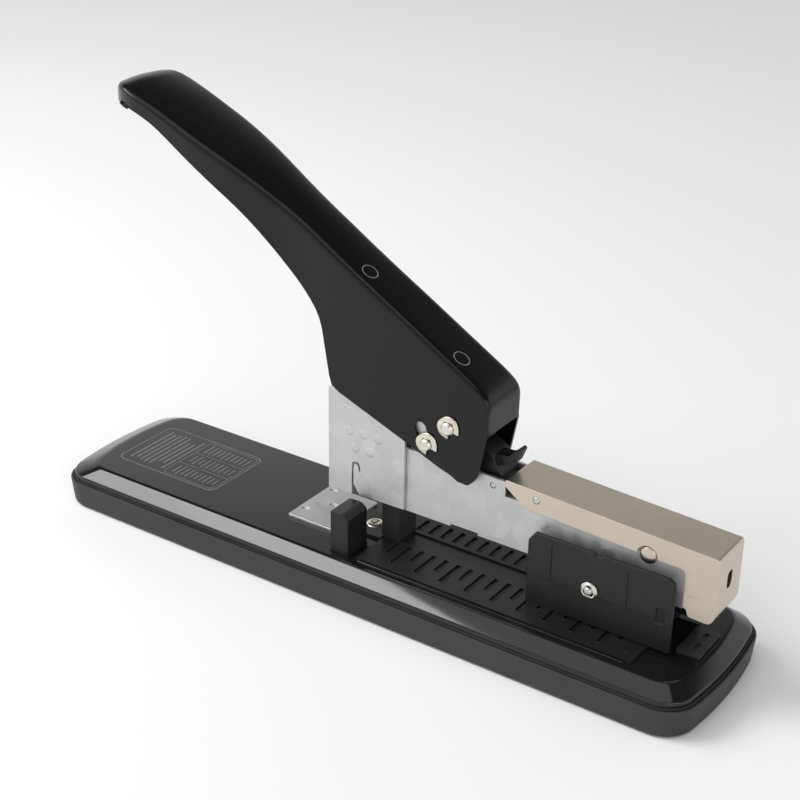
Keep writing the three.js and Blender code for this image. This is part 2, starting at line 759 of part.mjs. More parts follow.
function pusher() {
  const { rear, front } = pusherSpan();
  const half = armInner - GAP.turn;
  const saddle = block(rear, front, -half, half, armFloor + 0.4, armFloor + PUSHER.height);
  const rail = MAGAZINE.width / 2 + GAP.turn;
  const straddle = block(rear - 1, front + 1, -rail, rail, 0, magazineTop + GAP.turn);
  const web = block(rear, front - 2, -0.8, 0.8, armFloor + 1, magazineTop + 1);
  const core = MAGAZINE.width / 2 - MAGAZINE.sheet - GAP.turn;
  const low = armFloor + 0.7;
  const tongue = block(rear, rear + 3, -core, core, low, magazineTop - MAGAZINE.sheet - 0.4);
  const bore = section(disc(0, armFloor + 3.9, 1.7), rear - 1, front + 1, 10);
  return cut(join(cut(saddle, straddle), web, tongue), bore);
}

function pusherRod() {
  const tail = armFront - MAGAZINE.tail;
  const profile = [
    [0, tail + 1],
    [2.8, tail + 1],
    [2.8, tail + 3],
    [1.4, tail + 3],
    [1.4, armFront - 0.8],
    [0, armFront - 0.8],
  ];
  return turned(profile, new THREE.Vector3(0, 0, deck + armFloor + 3.9), X, 16);
}

function pusherSpring() {
  const tail = armFront - MAGAZINE.tail + 3.5;
  const centre = new THREE.Vector3(tail, 0, deck + armFloor + 3.9);
  const length = pusherSpan().rear - tail - 0.6;
  return coil(new Helix(centre, X, Y, 2.4, length, 12), SPRING.pusher);
}

// ---------------------------------------------------------------- driver
// The lever that the cam presses: an inverted trough with ears at the pivot and a blade in front.
function driverLever() {
  const bar = outline([
    [-11.4, 26.6, 4],
    [-3, 25.4, 3],
    [11, 33, 3],
    [34, 34.8],
    [coverHinge.x + 2.8, 34.8],
    [coverHinge.x + 12.8, 38.2],
    [bladeX + 2.6, 38.2],
    [bladeX + 2.6, 40.4],
    [coverHinge.x + 10.8, 40.7],
    [coverHinge.x + 0.8, 37.2],
    [36, 37.2],
    [30, 39.6],
    [12, 39.6],
    [12, 34.2],
    [-3, 33.4, 3],
    [-11.4, 32, 4],
  ]);
  const hump = outline([
    [14, 39],
    [27.4, 39],
    [25.4, 58, 2],
    [17, 58, 2],
  ]);
  const inner = leverHalf - SHEET.lever;
  const body = side(bar, -leverHalf, leverHalf);
  const earRoom = block(-20, 11.4, -inner, inner, 0, 60);
  const trough = block(11.4, bladeX - 4, -inner, inner, 30, 36);
  const core = side(hump, -leverHalf, leverHalf);
  const hollow = block(18.6, 24.2, -inner, inner, 34, 56.2);
  const pivot = crossHole(ARM_PIVOT, PIN.pivot + GAP.pin, -20, 20);
  return cut(join(body, core), earRoom, trough, hollow, pivot);
}

function driverBlade() {
  const half = BLADE.thick / 2;
  const blade = block(bladeX - half, bladeX + half, -BLADE.half, BLADE.half, BLADE.low, 38.2);
  const chin = side(
    outline([
      [bladeX - 1, BLADE.low - 0.1],
      [bladeX - half, BLADE.low + 1],
      [bladeX - 1, BLADE.low + 1],
    ]),
    -20,
    20,
  );
  return cut(blade, chin);
}

// The block behind the nose: a slot just wider than a staple guides the blade.
function bladeGuide() {
  const half = armHalf;
  const wide = BLADE.half + 0.5;
  const body = block(armFront + 0.2, noseX - SHEET.cover - 0.8, -half, half, UNDERSIDE + 0.2, 27);
  const slot = block(bladeX - 1.4, bladeX + 1.2, -wide, wide, 0, 60);
  const window = block(armFront - 1, bladeX, -wide, wide, armFloor, magazineTop + 1.4);
  const spout = block(bladeX - 1.4, noseX, -2, 2, 26, 60);
  return cut(body, slot, window, spout);
}

// ---------------------------------------------------------------- head cover
// The roof and the lower edge fall evenly from the rear to the nose.
const coverFall = (x) => ((x - COVER.rear) * COVER.drop) / (noseX - COVER.rear);
const rivetPlace = { x: noseX - COVER.rivet, z: coverEdge(noseX - COVER.rivet) };

function coverEdge(x) {
  return COVER.edge - coverFall(x - 8.3);
}

function headCover() {
  const { rear } = COVER;
  const roof = (x) => COVER.roof - coverFall(x);
  const shape = outline([
    [rear, roof(rear), 0.8],
    [rear, 42.6],
    [rear + 8.3, coverEdge(rear + 8.3) + 0.2, 1],
    [noseX - 12.2, coverEdge(noseX - 12.2), 1.5],
    [noseX - 12, 19.2],
    [noseX - 10.6, 18.6],
    [noseX - 9.8, 16, 1],
    [noseX - 1.4, 15.6, 2.4],
    [noseX, 19, 1],
    [noseX, roof(noseX), 1.4],
  ]);
  const inside = outline([
    [rear - 1, roof(rear) - SHEET.cover],
    [rear - 1, 0],
    [noseX - SHEET.cover - 0.2, 0],
    [noseX - SHEET.cover - 0.2, roof(noseX) - SHEET.cover],
  ]);
  const body = side(shape, -coverHalf, coverHalf);
  const tools = [side(inside, -coverInner, coverInner)];
  tools.push(crossHole(coverHinge, PIN.cover + GAP.pin, -20, 20));
  tools.push(crossHole(rivetPlace, 3.9, -20, 20));
  tools.push(section(box2(-2, 26.5, 2, 33.3, 1.9), noseX - 3, noseX + 3));
  return cut(body, ...tools);
}

// A domed rivet on the arm's wall: the cover's lower edge snaps round it.
function coverRivet(sign) {
  const profile = [
    [0, 0],
    [3.4, 0],
    [3.4, 0.7],
    [2.4, 1.4],
    [1.2, 1.7],
    [0, 1.8],
  ];
  const along = Y.clone().multiplyScalar(sign);
  const at = new THREE.Vector3(rivetPlace.x, sign * armHalf, deck + rivetPlace.z);
  return turned(profile, at, along, 20);
}

function coverPin(sign) {
  const [y0, y1] = span(sign, armInner - 0.8, coverHalf + 0.2);
  return crossPin(coverHinge, PIN.cover, y0, y1);
}

// ---------------------------------------------------------------- release lever
function releaseLever() {
  const half = RELEASE.width / 2;
  const { x, z } = RELEASE;
  const body = outline([
    [x - 5, z - 1.6, 1],
    [x + 2.6, z - 2.4, 1],
    [x + 2.4, z + 2, 1],
    [x - 0.6, z + 7, 1],
    [x - 1.8, z + 9.6, 1],
    [x - 8.4, z + 13.4, 2],
    [x - 10, z + 9, 1],
  ]);
  const fin = outline([
    [x - 2.4, z + 5.4],
    [x + 5, z + 7.4, 0.6],
    [x + 7.2, z + 13, 0.8],
    [x + 6, z + 13.6, 0.8],
    [x + 2.6, z + 10.2, 1],
    [x - 3.4, z + 9.9],
  ]);
  const web = RELEASE.fin / 2;
  const knob = join(side(body, -half, half), side(fin, -web, web));
  return cut(knob, crossHole(RELEASE, PIN.release + GAP.pin, -20, 20));
}

// ---------------------------------------------------------------- paper guide
function guideSlider() {
  const { low, pin, pinHeight, pinRadius, reach } = GUIDE;
  const pinX = noseX - pin;
  const bar = block(pinX - reach, pinX + reach, -plateInner, plateInner, low, 4.4);
  const keelHalf = RAIL.groove - GAP.slide;
  const keel = block(pinX - 7, pinX + 7, -keelHalf, keelHalf, RAIL.floor + GAP.slide, low);
  const ear = outline([
    [pinX - reach, low],
    [pinX + reach, low],
    [pinX + 6, pinHeight + 5.1, 3],
    [pinX - 6, pinHeight + 5.1, 3],
  ]);
  const ears = SIDES.map(([, sign]) => side(ear, ...span(sign, earInner, plateInner)));
  const at = { x: pinX, z: pinHeight };
  return cut(join(bar, keel, ...ears), crossHole(at, pinRadius + GAP.pin, -20, 20));
}

function guidePlate(sign) {
  const { rear, front } = guideX;
  const shape = outline([
    [rear, GUIDE.low],
    [front, GUIDE.low],
    [front, GUIDE.top - 1.4, 1.6],
    [front - 2.4, GUIDE.top],
    [rear + 29.4, GUIDE.top],
    [rear + 29, GUIDE.top - 0.8],
    [rear + 26.6, GUIDE.top - 0.8],
    [rear + 26.2, GUIDE.top],
    [rear + 2.6, GUIDE.top + 0.2],
    [rear, GUIDE.top - 3.4, 1],
  ]);
  const at = { x: noseX - GUIDE.pin, z: GUIDE.pinHeight };
  const body = side(shape, ...span(sign, plateInner, plateHalf));
  const depth = span(sign, plateHalf - 0.8, plateHalf + 1);
  const recess = side(box2(front - 6, 12, front - 3, 18, 0.4), ...depth);
  return cut(body, recess, crossHole(at, GUIDE.pinRadius + GAP.pin, -20, 20));
}

function guidePin(sign) {
  const at = { x: noseX - GUIDE.pin, z: GUIDE.pinHeight };
  const [y0, y1] = span(sign, earInner + 0.1, plateHalf + 1.9);
  return crossPin(at, GUIDE.pinRadius, y0, y1);
}

function guideClip(sign) {
  const y = sign * (plateHalf + 0.1);
  const at = new THREE.Vector3(noseX - GUIDE.pin, y, deck + GUIDE.pinHeight);
  const bore = GUIDE.pinRadius + GAP.pin;
  const profile = [
    [bore, 0],
    [GUIDE.clip, 0],
    [GUIDE.clip, 0.6],
    [GUIDE.clip - 0.8, 1],
    [bore, 1],
    [bore, 0],
  ];
  const along = Y.clone().multiplyScalar(sign);
  return turned(profile, at, along, 20);
}

// ---------------------------------------------------------------- assembly
// The upper works are drawn over the drawn underside, and lifted with the throat.
function addUpper(name, body, material) {
  add(name, body.translate([0, 0, raise]), material);
}

add("base_skirt", baseSkirt(), FINISH.skirt);
add("base_shell", baseShell(), FINISH.gloss);
footPlaces().forEach(([x, y], i) => add(`rubber_foot_${i + 1}`, rubberFoot(x, y), FINISH.rubber));
add("slot_rail", slotRail(), FINISH.plastic);
add("foot_plate", footPlate(), FINISH.zinc);
add("anvil", anvil(), FINISH.dark);
add("deck_screw", deckScrew(SCREW.x, 0, BRACKET.flange), FINISH.nickel);
add("lock_button", lockButton(), FINISH.plastic);
add("lock_spring", buttonSpring(), FINISH.steel);
addUpper("support_bracket", supportBracket(), FINISH.dark);
addUpper("stand", stand(), FINISH.zinc);
addUpper("handle_axle", handleAxle(), FINISH.nickel);
addUpper("arm_channel", armChannel(), FINISH.zinc);
addUpper("arm_pivot_pin", armPivotPin(), FINISH.steel);
addUpper("magazine_rail", magazineRail(), FINISH.steel);
addUpper("pusher", pusher(), FINISH.zinc);
addUpper("pusher_rod", pusherRod(), FINISH.steel);
addUpper("pusher_spring", pusherSpring(), FINISH.steel);
addUpper("driver_lever", driverLever(), FINISH.steel);
addUpper("driver_blade", driverBlade(), FINISH.steel);
addUpper("blade_guide", bladeGuide(), FINISH.steel);
addUpper("handle_shell", handleShell(), FINISH.gloss);
addUpper("press_cam", pressCam(), FINISH.steel);
addUpper("head_cover", headCover(), FINISH.nickel);
addUpper("release_lever", releaseLever(), FINISH.plastic);
addUpper("release_pin", crossPin(RELEASE, PIN.release, -armHalf, armHalf), FINISH.steel);
add("guide_slider", guideSlider(), FINISH.plastic);
for (const [name, sign] of SIDES) {
  addUpper(`limit_pin_${name}`, limitStub(sign), FINISH.nickel);
  addUpper(`axle_clip_${name}`, axleClip(HANDLE_AXLE, sign), FINISH.nickel);
  addUpper(`limit_clip_${name}`, axleClip(limitPin, sign), FINISH.nickel);
  addUpper(`handle_spring_${name}`, handleSpring(sign), FINISH.steel);
  addUpper(`cover_pin_${name}`, coverPin(sign), FINISH.steel);
  addUpper(`cover_rivet_${name}`, coverRivet(sign), FINISH.nickel);
  add(`guide_plate_${name}`, guidePlate(sign), FINISH.plastic);
  add(`guide_pin_${name}`, guidePin(sign), FINISH.steel);
  add(`guide_clip_${name}`, guideClip(sign), FINISH.nickel);
}

export default group;
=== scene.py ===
"""Looks of a long-handled block stapler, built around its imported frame.

Sizes are millimetres in the classes below and become metres as a mesh is made. Heights of the
upper works are measured above the deck, the flat top of the base.
"""

import json
import logging
import math
from dataclasses import dataclass
from enum import Enum
from typing import Callable, Iterable, Sequence, Union

import bmesh
import bpy
from mathutils import Matrix, Vector

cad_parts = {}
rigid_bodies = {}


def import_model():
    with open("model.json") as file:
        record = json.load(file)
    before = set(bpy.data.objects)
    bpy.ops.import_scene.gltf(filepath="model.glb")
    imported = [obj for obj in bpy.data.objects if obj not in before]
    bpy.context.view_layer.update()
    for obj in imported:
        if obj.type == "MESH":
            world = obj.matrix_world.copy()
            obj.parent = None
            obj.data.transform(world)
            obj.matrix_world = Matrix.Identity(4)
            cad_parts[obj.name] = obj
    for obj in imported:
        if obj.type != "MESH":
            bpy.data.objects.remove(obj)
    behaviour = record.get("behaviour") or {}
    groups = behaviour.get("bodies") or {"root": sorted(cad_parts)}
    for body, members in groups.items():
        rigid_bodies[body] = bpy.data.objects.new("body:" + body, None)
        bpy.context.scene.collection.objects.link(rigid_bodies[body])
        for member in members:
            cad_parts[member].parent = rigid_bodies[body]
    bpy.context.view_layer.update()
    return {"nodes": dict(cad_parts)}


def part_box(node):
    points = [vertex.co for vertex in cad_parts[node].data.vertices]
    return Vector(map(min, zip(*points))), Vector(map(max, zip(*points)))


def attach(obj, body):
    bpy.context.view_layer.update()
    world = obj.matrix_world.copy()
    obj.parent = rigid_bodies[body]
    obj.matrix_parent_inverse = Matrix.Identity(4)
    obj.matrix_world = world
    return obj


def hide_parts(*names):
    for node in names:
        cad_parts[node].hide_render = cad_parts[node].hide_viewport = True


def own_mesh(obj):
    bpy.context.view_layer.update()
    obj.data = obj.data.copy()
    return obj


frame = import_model()

LOG = logging.getLogger("stapler")
MM = 0.001
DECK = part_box("base_shell")[1].z / MM
Point = tuple[float, float]
Value = Union[float, int, bool, tuple, "Wire", bpy.types.Material]


class Side(Enum):
    """The two walls of the stapler: near is -Y, far is +Y."""

    NEAR = -1
    FAR = 1

    @property
    def word(self) -> str:
        """The word that ends the names of the nodes on this side."""
        return self.name.lower()


# ------------------------------------------------------------------------------ node trees
class Wire:
    """A node's output that can be reckoned with: each operator adds a Math node."""

    def __init__(self, tree: "Tree", socket: bpy.types.NodeSocket) -> None:
        """Wraps a socket.

        Args:
            tree: the tree that the socket is in.
            socket: the output that later nodes read.
        """
        self.tree = tree
        self.socket = socket

    def math(self, operation: str, *others: Value, clamp: bool = False) -> "Wire":
        """Adds a Math node that starts with this wire.

        Args:
            operation: the Math node's operation.
            others: its second and third values.
            clamp: whether the result stays from 0 to 1.

        Returns:
            The Math node's output.
        """
        settings = {"operation": operation, "use_clamp": clamp}
        values = {0: self, **{i + 1: other for i, other in enumerate(others)}}
        return self.tree.node("ShaderNodeMath", settings, values)

    def _from(self, operation: str, first: float) -> "Wire":
        """A Math node whose first value is a number and whose second is this wire."""
        return self.tree.node("ShaderNodeMath", {"operation": operation}, {0: first, 1: self})

    def __add__(self, other: Value) -> "Wire":
        """Sum."""
        return self.math("ADD", other)

    def __radd__(self, other: float) -> "Wire":
        """Sum with a number in front."""
        return self._from("ADD", other)

    def __sub__(self, other: Value) -> "Wire":
        """Difference."""
        return self.math("SUBTRACT", other)

    def __rsub__(self, other: float) -> "Wire":
        """A number less this wire."""
        return self._from("SUBTRACT", other)

    def __mul__(self, other: Value) -> "Wire":
        """Product."""
        return self.math("MULTIPLY", other)

    def __rmul__(self, other: float) -> "Wire":
        """Product with a number in front."""
        return self._from("MULTIPLY", other)


class Tree:
    """A node tree, for a material or for geometry, and the one way to add nodes to it."""

    def __init__(self, tree: bpy.types.NodeTree) -> None:
        """Wraps a node tree."""
        self.tree = tree

    def node(
        self,
        kind: str,
        settings: dict[str, object] | None = None,
        sockets: dict[Union[str, int], Value] | None = None,
        output: Union[str, int] = 0,
    ) -> Wire:
        """Adds a node.

        Args:
            kind: the node's type.
            settings: its own settings, which are set first.
            sockets: values or wires for its inputs, by name or place.
            output: the name or place of the output that is given back.

        Returns:
            That output.
        """
        made = self.tree.nodes.new(kind)
        for name, value in (settings or {}).items():
            setattr(made, name, value)
        for key, value in (sockets or {}).items():
            self.feed(made.inputs[key], value)
        return Wire(self, made.outputs[output] if len(made.outputs) else None)

    def feed(self, socket: bpy.types.NodeSocket, value: Value) -> None:
        """Links a wire to a socket, or sets the socket's own value."""
        if isinstance(value, Wire):
            self.tree.links.new(value.socket, socket)
        elif isinstance(value, (list, tuple)) and value and isinstance(value[0], Wire):
            for wire in value:
                self.tree.links.new(wire.socket, socket)
        else:
            socket.default_value = value

    def ramp(self, factor: Wire, stops: Sequence[tuple[float, float]]) -> Wire:
        """Adds a grey ramp.

        Args:
            factor: the wire that runs along the ramp.
            stops: pairs of place and grey value.

        Returns:
            The ramp's grey.
        """
        made = self.tree.nodes.new("ShaderNodeValToRGB")
        band = made.color_ramp
        while len(band.elements) < len(stops):
            band.elements.new(0.5)
        for element, (place, value) in zip(band.elements, stops):
            element.position = place
            element.color = grey(value)
        self.feed(made.inputs[0], factor)
        return Wire(self, made.outputs[0])

    def mix(self, factor: Value, first: Value, second: Value) -> Wire:
        """Mixes two colours by a factor."""
        settings = {"data_type": "RGBA", "clamp_factor": True}
        return self.node("ShaderNodeMix", settings, {0: factor, 6: first, 7: second}, 2)


def grey(value: float) -> tuple[float, float, float, float]:
    """A colour from a grey value."""
    return (value, value, value, 1.0)


# ------------------------------------------------------------------------------ finishes
@dataclass(frozen=True)
class Finish:
    """What every finish shares: a name, and how its material's tree starts and ends."""

    name: str

    def material(self) -> bpy.types.Material:
        """Builds the material, or gives back the one that was built before."""
        title = f"{self.name}_finish"
        found = bpy.data.materials.get(title)
        if found:
            return found
        made = bpy.data.materials.new(title)
        made.use_nodes = True
        made.node_tree.nodes.clear()
        tree = Tree(made.node_tree)
        shader = tree.node("ShaderNodeBsdfPrincipled", {}, self.sockets(tree))
        tree.node("ShaderNodeOutputMaterial", {}, {"Surface": shader})
        return made

    def sockets(self, tree: Tree) -> dict[str, Value]:
        """The shader's sockets; each finish has its own."""
        raise NotImplementedError

    @staticmethod
    def place(tree: Tree, stretch: tuple[float, float, float] = (1, 1, 1)) -> Wire:
        """The point of the surface in metres, stretched along the axes."""
        point = tree.node("ShaderNodeTexCoord", {}, {}, "Object")
        if stretch == (1, 1, 1):
            return point
        return tree.node("ShaderNodeVectorMath", {"operation": "MULTIPLY"}, {0: point, 1: stretch})

    @staticmethod
    def noise(tree: Tree, point: Wire, scale: float, detail: float = 3.0) -> Wire:
        """A grey noise from 0 to 1."""
        values = {"Vector": point, "Scale": scale, "Detail": detail, "Roughness": 0.55}
        return tree.node("ShaderNodeTexNoise", {}, values, 0)

    @staticmethod
    def bump(tree: Tree, height: Wire, strength: float, depth: float) -> Wire:
        """A Bump node's normal for a height, with its depth in metres."""
        values = {"Height": height, "Strength": strength, "Distance": depth}
        return tree.node("ShaderNodeBump", {}, values)


@dataclass(frozen=True)
class Moulded(Finish):
    """Moulded plastic or rubber with a fine matte texture and soft marks of handling."""

    shade: float = 0.05
    rough: float = 0.5
    grain: float = 1800.0
    relief: float = 0.25
    specular: float = 0.5

    def sockets(self, tree: Tree) -> dict[str, Value]:
        """Texture as bump; a little wear in colour and roughness."""
        point = self.place(tree)
        fine = self.noise(tree, point, self.grain)
        cloud = self.noise(tree, point, 42.0)
        wear = tree.ramp(cloud, [(0.35, 0.0), (0.75, 1.0)])
        colour = tree.mix(wear, grey(self.shade * 0.86), grey(self.shade * 1.18))
        rough = self.rough - 0.07 + 0.14 * cloud
        return {
            "Base Color": colour,
            "Roughness": rough,
            "Specular IOR Level": self.specular,
            "Normal": self.bump(tree, fine, self.relief, 0.00006),
        }


@dataclass(frozen=True)
class Paint(Finish):
    """Stoved black paint: a faint orange peel, fine dust specks and hairline rubs."""

    shade: float = 0.012
    rough: float = 0.12
    peel: float = 0.05
    specular: float = 0.5
    coat: float = 0.6

    def sockets(self, tree: Tree) -> dict[str, Value]:
        """Orange peel as bump, dust as pale specks, rubs in the roughness."""
        point = self.place(tree)
        peel = self.noise(tree, point, 330.0, 2.0)
        cloud = self.noise(tree, point, 26.0)
        rubs = self.noise(tree, self.place(tree, (0.12, 1.0, 1.0)), 900.0, 2.0)
        specks = self.noise(tree, point, 1500.0, 1.0)
        dust = tree.ramp(specks, [(0.70, 0.0), (0.78, 1.0)]) * 0.5
        colour = tree.mix(dust, grey(self.shade), grey(self.shade * 3.2 + 0.02))
        rough = self.rough + 0.06 * cloud + 0.04 * rubs + 0.3 * dust
        return {
            "Base Color": colour,
            "Roughness": rough,
            "Specular IOR Level": self.specular,
            "Coat Weight": self.coat,
            "Coat Roughness": 0.08,
            "Normal": self.bump(tree, peel, self.peel, 0.0001),
        }


@dataclass(frozen=True)
class Zinc(Finish):
    """Hot-dipped zinc: overlapping spangles of slightly different grey, semi-matt."""

    light: tuple[float, float, float] = (0.64, 0.645, 0.645)
    dark: tuple[float, float, float] = (0.48, 0.485, 0.487)
    spangle: float = 150.0
    rough: float = 0.38

    def sockets(self, tree: Tree) -> dict[str, Value]:
        """Spangles in colour, roughness and a very shallow bump."""
        point = self.place(tree)
        warp = self.noise(tree, point, 190.0, 2.0)
        wobble = tree.node("ShaderNodeCombineXYZ", {}, {0: warp * 0.004, 1: 0.0, 2: warp * 0.004})
        bent = tree.node("ShaderNodeVectorMath", {"operation": "ADD"}, {0: point, 1: wobble})
        values = {"Vector": bent, "Scale": self.spangle, "Randomness": 1.0}
        cell = tree.node("ShaderNodeTexVoronoi", {"feature": "F1"}, values, "Color")
        tone = tree.node("ShaderNodeSeparateColor", {}, {0: cell}, 0)
        fine = self.noise(tree, point, 850.0, 4.0)
        blotch = self.noise(tree, point, 55.0, 3.0)
        factor = (tone * 0.55 + fine * 0.25 + blotch * 0.4).math("SUBTRACT", 0.1, clamp=True)
        return {
            "Base Color": tree.mix(factor, (*self.dark, 1), (*self.light, 1)),
            "Metallic": 0.88,
            "Roughness": self.rough + 0.16 * tone + 0.08 * fine,
            "Normal": self.bump(tree, tone + fine * 0.6, 0.06, 0.00008),
        }


@dataclass(frozen=True)
class Plate(Finish):
    """Nickel or bare steel: fine lines of rolling, small scratches and a clouded sheen."""

    tone: tuple[float, float, float] = (0.68, 0.63, 0.57)
    rough: float = 0.24
    along: tuple[float, float, float] = (0.05, 1.0, 1.0)
    lines: float = 0.5
    metal: float = 1.0

    def sockets(self, tree: Tree) -> dict[str, Value]:
        """Lines along the sheet as bump; scratches and cloud in colour and roughness."""
        point = self.place(tree)
        brushed = self.noise(tree, self.place(tree, self.along), 2600.0, 4.0)
        cloud = self.noise(tree, point, 60.0, 3.0)
        scratch = self.noise(tree, self.place(tree, (0.25, 1.0, 0.6)), 420.0, 1.5)
        marks = tree.ramp(scratch, [(0.66, 0.0), (0.72, 1.0)])
        deep = tuple(c * 0.82 for c in self.tone)
        factor = (cloud * 0.8 + brushed * 0.3 - marks * 0.35).math("ADD", 0.0, clamp=True)
        return {
            "Base Color": tree.mix(factor, (*deep, 1), (*self.tone, 1)),
            "Metallic": self.metal,
            "Roughness": self.rough + 0.12 * cloud + 0.1 * self.lines * brushed + 0.1 * marks,
            "Normal": self.bump(tree, brushed + cloud * 0.5, 0.08 * self.lines, 0.00005),
        }


@dataclass(frozen=True)
class Ink(Finish):
    """Screen-printed pale grey ink, slightly worn."""

    shade: float = 0.17

    def sockets(self, tree: Tree) -> dict[str, Value]:
        """Patchy cover in the colour."""
        patch = tree.ramp(self.noise(tree, self.place(tree), 700.0), [(0.3, 0.0), (0.6, 1.0)])
        colour = tree.mix(patch, grey(self.shade * 0.7), grey(self.shade * 1.1))
        return {"Base Color": colour, "Roughness": 0.42 + 0.1 * patch}


@dataclass(frozen=True)
class Floor(Finish):
    """The pale, even studio floor."""

    shade: float = 0.9

    def sockets(self, tree: Tree) -> dict[str, Value]:
        """Nearly white, with the least cloud of grey."""
        cloud = self.noise(tree, self.place(tree), 1.2)
        return {
            "Base Color": tree.mix(cloud, grey(self.shade * 0.99), grey(self.shade)),
            "Roughness": 0.75,
            "Specular IOR Level": 0.2,
        }


SKIRT = Moulded(
    "matte_black_plastic", shade=0.03, rough=0.56, grain=1500.0, relief=0.3, specular=0.38
)
DECK_PAINT = Paint(
    "gloss_black_paint", shade=0.007, rough=0.02, peel=0.02, specular=0.42, coat=0.05
)
HANDLE_PAINT = Paint(
    "handle_black_paint", shade=0.004, rough=0.13, peel=0.04, specular=0.27, coat=0.0
)
BLACK = Moulded(
    "black_plastic", shade=0.012, rough=0.38, grain=1300.0, relief=0.22, specular=0.3
)
RUBBER = Moulded("rubber", shade=0.02, rough=0.8, grain=2600.0, relief=0.4)
ZINC = Zinc("galvanised")
NICKEL = Plate("nickel_plate", tone=(0.64, 0.575, 0.49), rough=0.22)
BRIGHT = Plate("nickel_hardware", tone=(0.74, 0.71, 0.62), rough=0.2, lines=0.3)
STEEL = Plate("bright_steel", tone=(0.58, 0.58, 0.57), rough=0.3)
OXIDE = Plate("blackened_steel", tone=(0.035, 0.034, 0.033), rough=0.42, metal=0.4)
INK = Ink("label_ink")
FLOOR = Floor("studio_floor")


# ------------------------------------------------------------------------------ mesh making
def object_of(
    name: str, points: Iterable[Sequence[float]], faces: Iterable[Sequence[int]]
) -> bpy.types.Object:
    """Makes an object from points in millimetres.

    Args:
        name: the new object's name.
        points: the corners, in millimetres.
        faces: the corners of each face, by place.

    Returns:
        The object, at the origin, with its faces turned outwards.
    """
    mesh = bpy.data.meshes.new(name)
    mesh.from_pydata([[c * MM for c in p] for p in points], [], [list(f) for f in faces])
    made = bpy.data.objects.new(name, mesh)
    bpy.context.scene.collection.objects.link(made)
    tidy = bmesh.new()
    tidy.from_mesh(mesh)
    bmesh.ops.remove_doubles(tidy, verts=tidy.verts, dist=1e-7)
    bmesh.ops.recalc_face_normals(tidy, faces=tidy.faces)
    tidy.to_mesh(mesh)
    tidy.free()
    return made


def box_of(node: str) -> tuple[Vector, Vector]:
    """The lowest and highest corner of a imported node's box, in millimetres."""
    low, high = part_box(node)
    return low / MM, high / MM


def baked(piece: bpy.types.Object, smooth: float = 40.0) -> bpy.types.Object:
    """Makes a piece's modifiers part of its mesh.

    Args:
        piece: the object whose modifiers are used up.
        smooth: edges sharper than this angle in degrees stay sharp.

    Returns:
        The same object, with a plain mesh.
    """
    graph = bpy.context.evaluated_depsgraph_get()
    graph.update()
    mesh = bpy.data.meshes.new_from_object(piece.evaluated_get(graph), depsgraph=graph)
    mesh.name = piece.name
    piece.modifiers.clear()
    piece.data = mesh
    if not mesh.has_custom_normals:
        soften(piece, smooth)
    return piece


def soften(piece: bpy.types.Object, angle: float) -> None:
    """Shades a piece smooth except over edges sharper than an angle in degrees."""
    mesh = piece.data
    mesh.polygons.foreach_set("use_smooth", [True] * len(mesh.polygons))
    mesh.set_sharp_from_angle(angle=math.radians(angle))


def rounded_edges(
    piece: bpy.types.Object, width: float, steps: int = 2, angle: float = 35.0
) -> None:
    """Adds a bevel over sharp edges, and normals that follow the large faces.

    Args:
        piece: the object.
        width: the bevel's width in millimetres.
        steps: the bevel's segments.
        angle: edges sharper than this angle in degrees are bevelled.
    """
    bevel = piece.modifiers.new("edges", "BEVEL")
    bevel.width = width * MM
    bevel.segments = steps
    bevel.limit_method = "ANGLE"
    bevel.angle_limit = math.radians(angle)
    bevel.miter_outer = "MITER_ARC"
    bevel.use_clamp_overlap = True
    weighted_normals(piece)


def weighted_normals(piece: bpy.types.Object) -> None:
    """Adds normals weighted by the faces' areas, so that flat faces look flat."""
    normals = piece.modifiers.new("normals", "WEIGHTED_NORMAL")
    normals.keep_sharp = True
    normals.weight = 60


def carve(piece: bpy.types.Object, *tools: bpy.types.Object) -> None:
    """Cuts tools out of a piece and removes the tools.

    Args:
        piece: the piece.
        tools: closed shapes; each is taken away from it in turn.
    """
    for tool in tools:
        cut = piece.modifiers.new("cut", "BOOLEAN")
        cut.operation = "DIFFERENCE"
        cut.solver = "EXACT"
        cut.object = tool
        baked(piece)
        bpy.data.objects.remove(tool)


def dressed(piece: bpy.types.Object, finish: Finish) -> bpy.types.Object:
    """Gives a piece its finish.

    Args:
        piece: the piece.
        finish: what it is dressed in.

    Returns:
        The same piece.
    """
    piece.data.materials.clear()
    piece.data.materials.append(finish.material())
    return piece


def settled(piece: bpy.types.Object, body: str, *nodes: str) -> bpy.types.Object:
    """Puts a finished piece on its body, in place of the nodes that it stands for.

    Args:
        piece: the piece.
        body: the body that it moves with.
        nodes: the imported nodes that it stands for; none for an added detail.

    Returns:
        The same piece.
    """
    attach(piece, body)
    if nodes:
        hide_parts(*nodes)
    LOG.info("%s on %s, %d faces", piece.name, body, len(piece.data.polygons))
    return piece


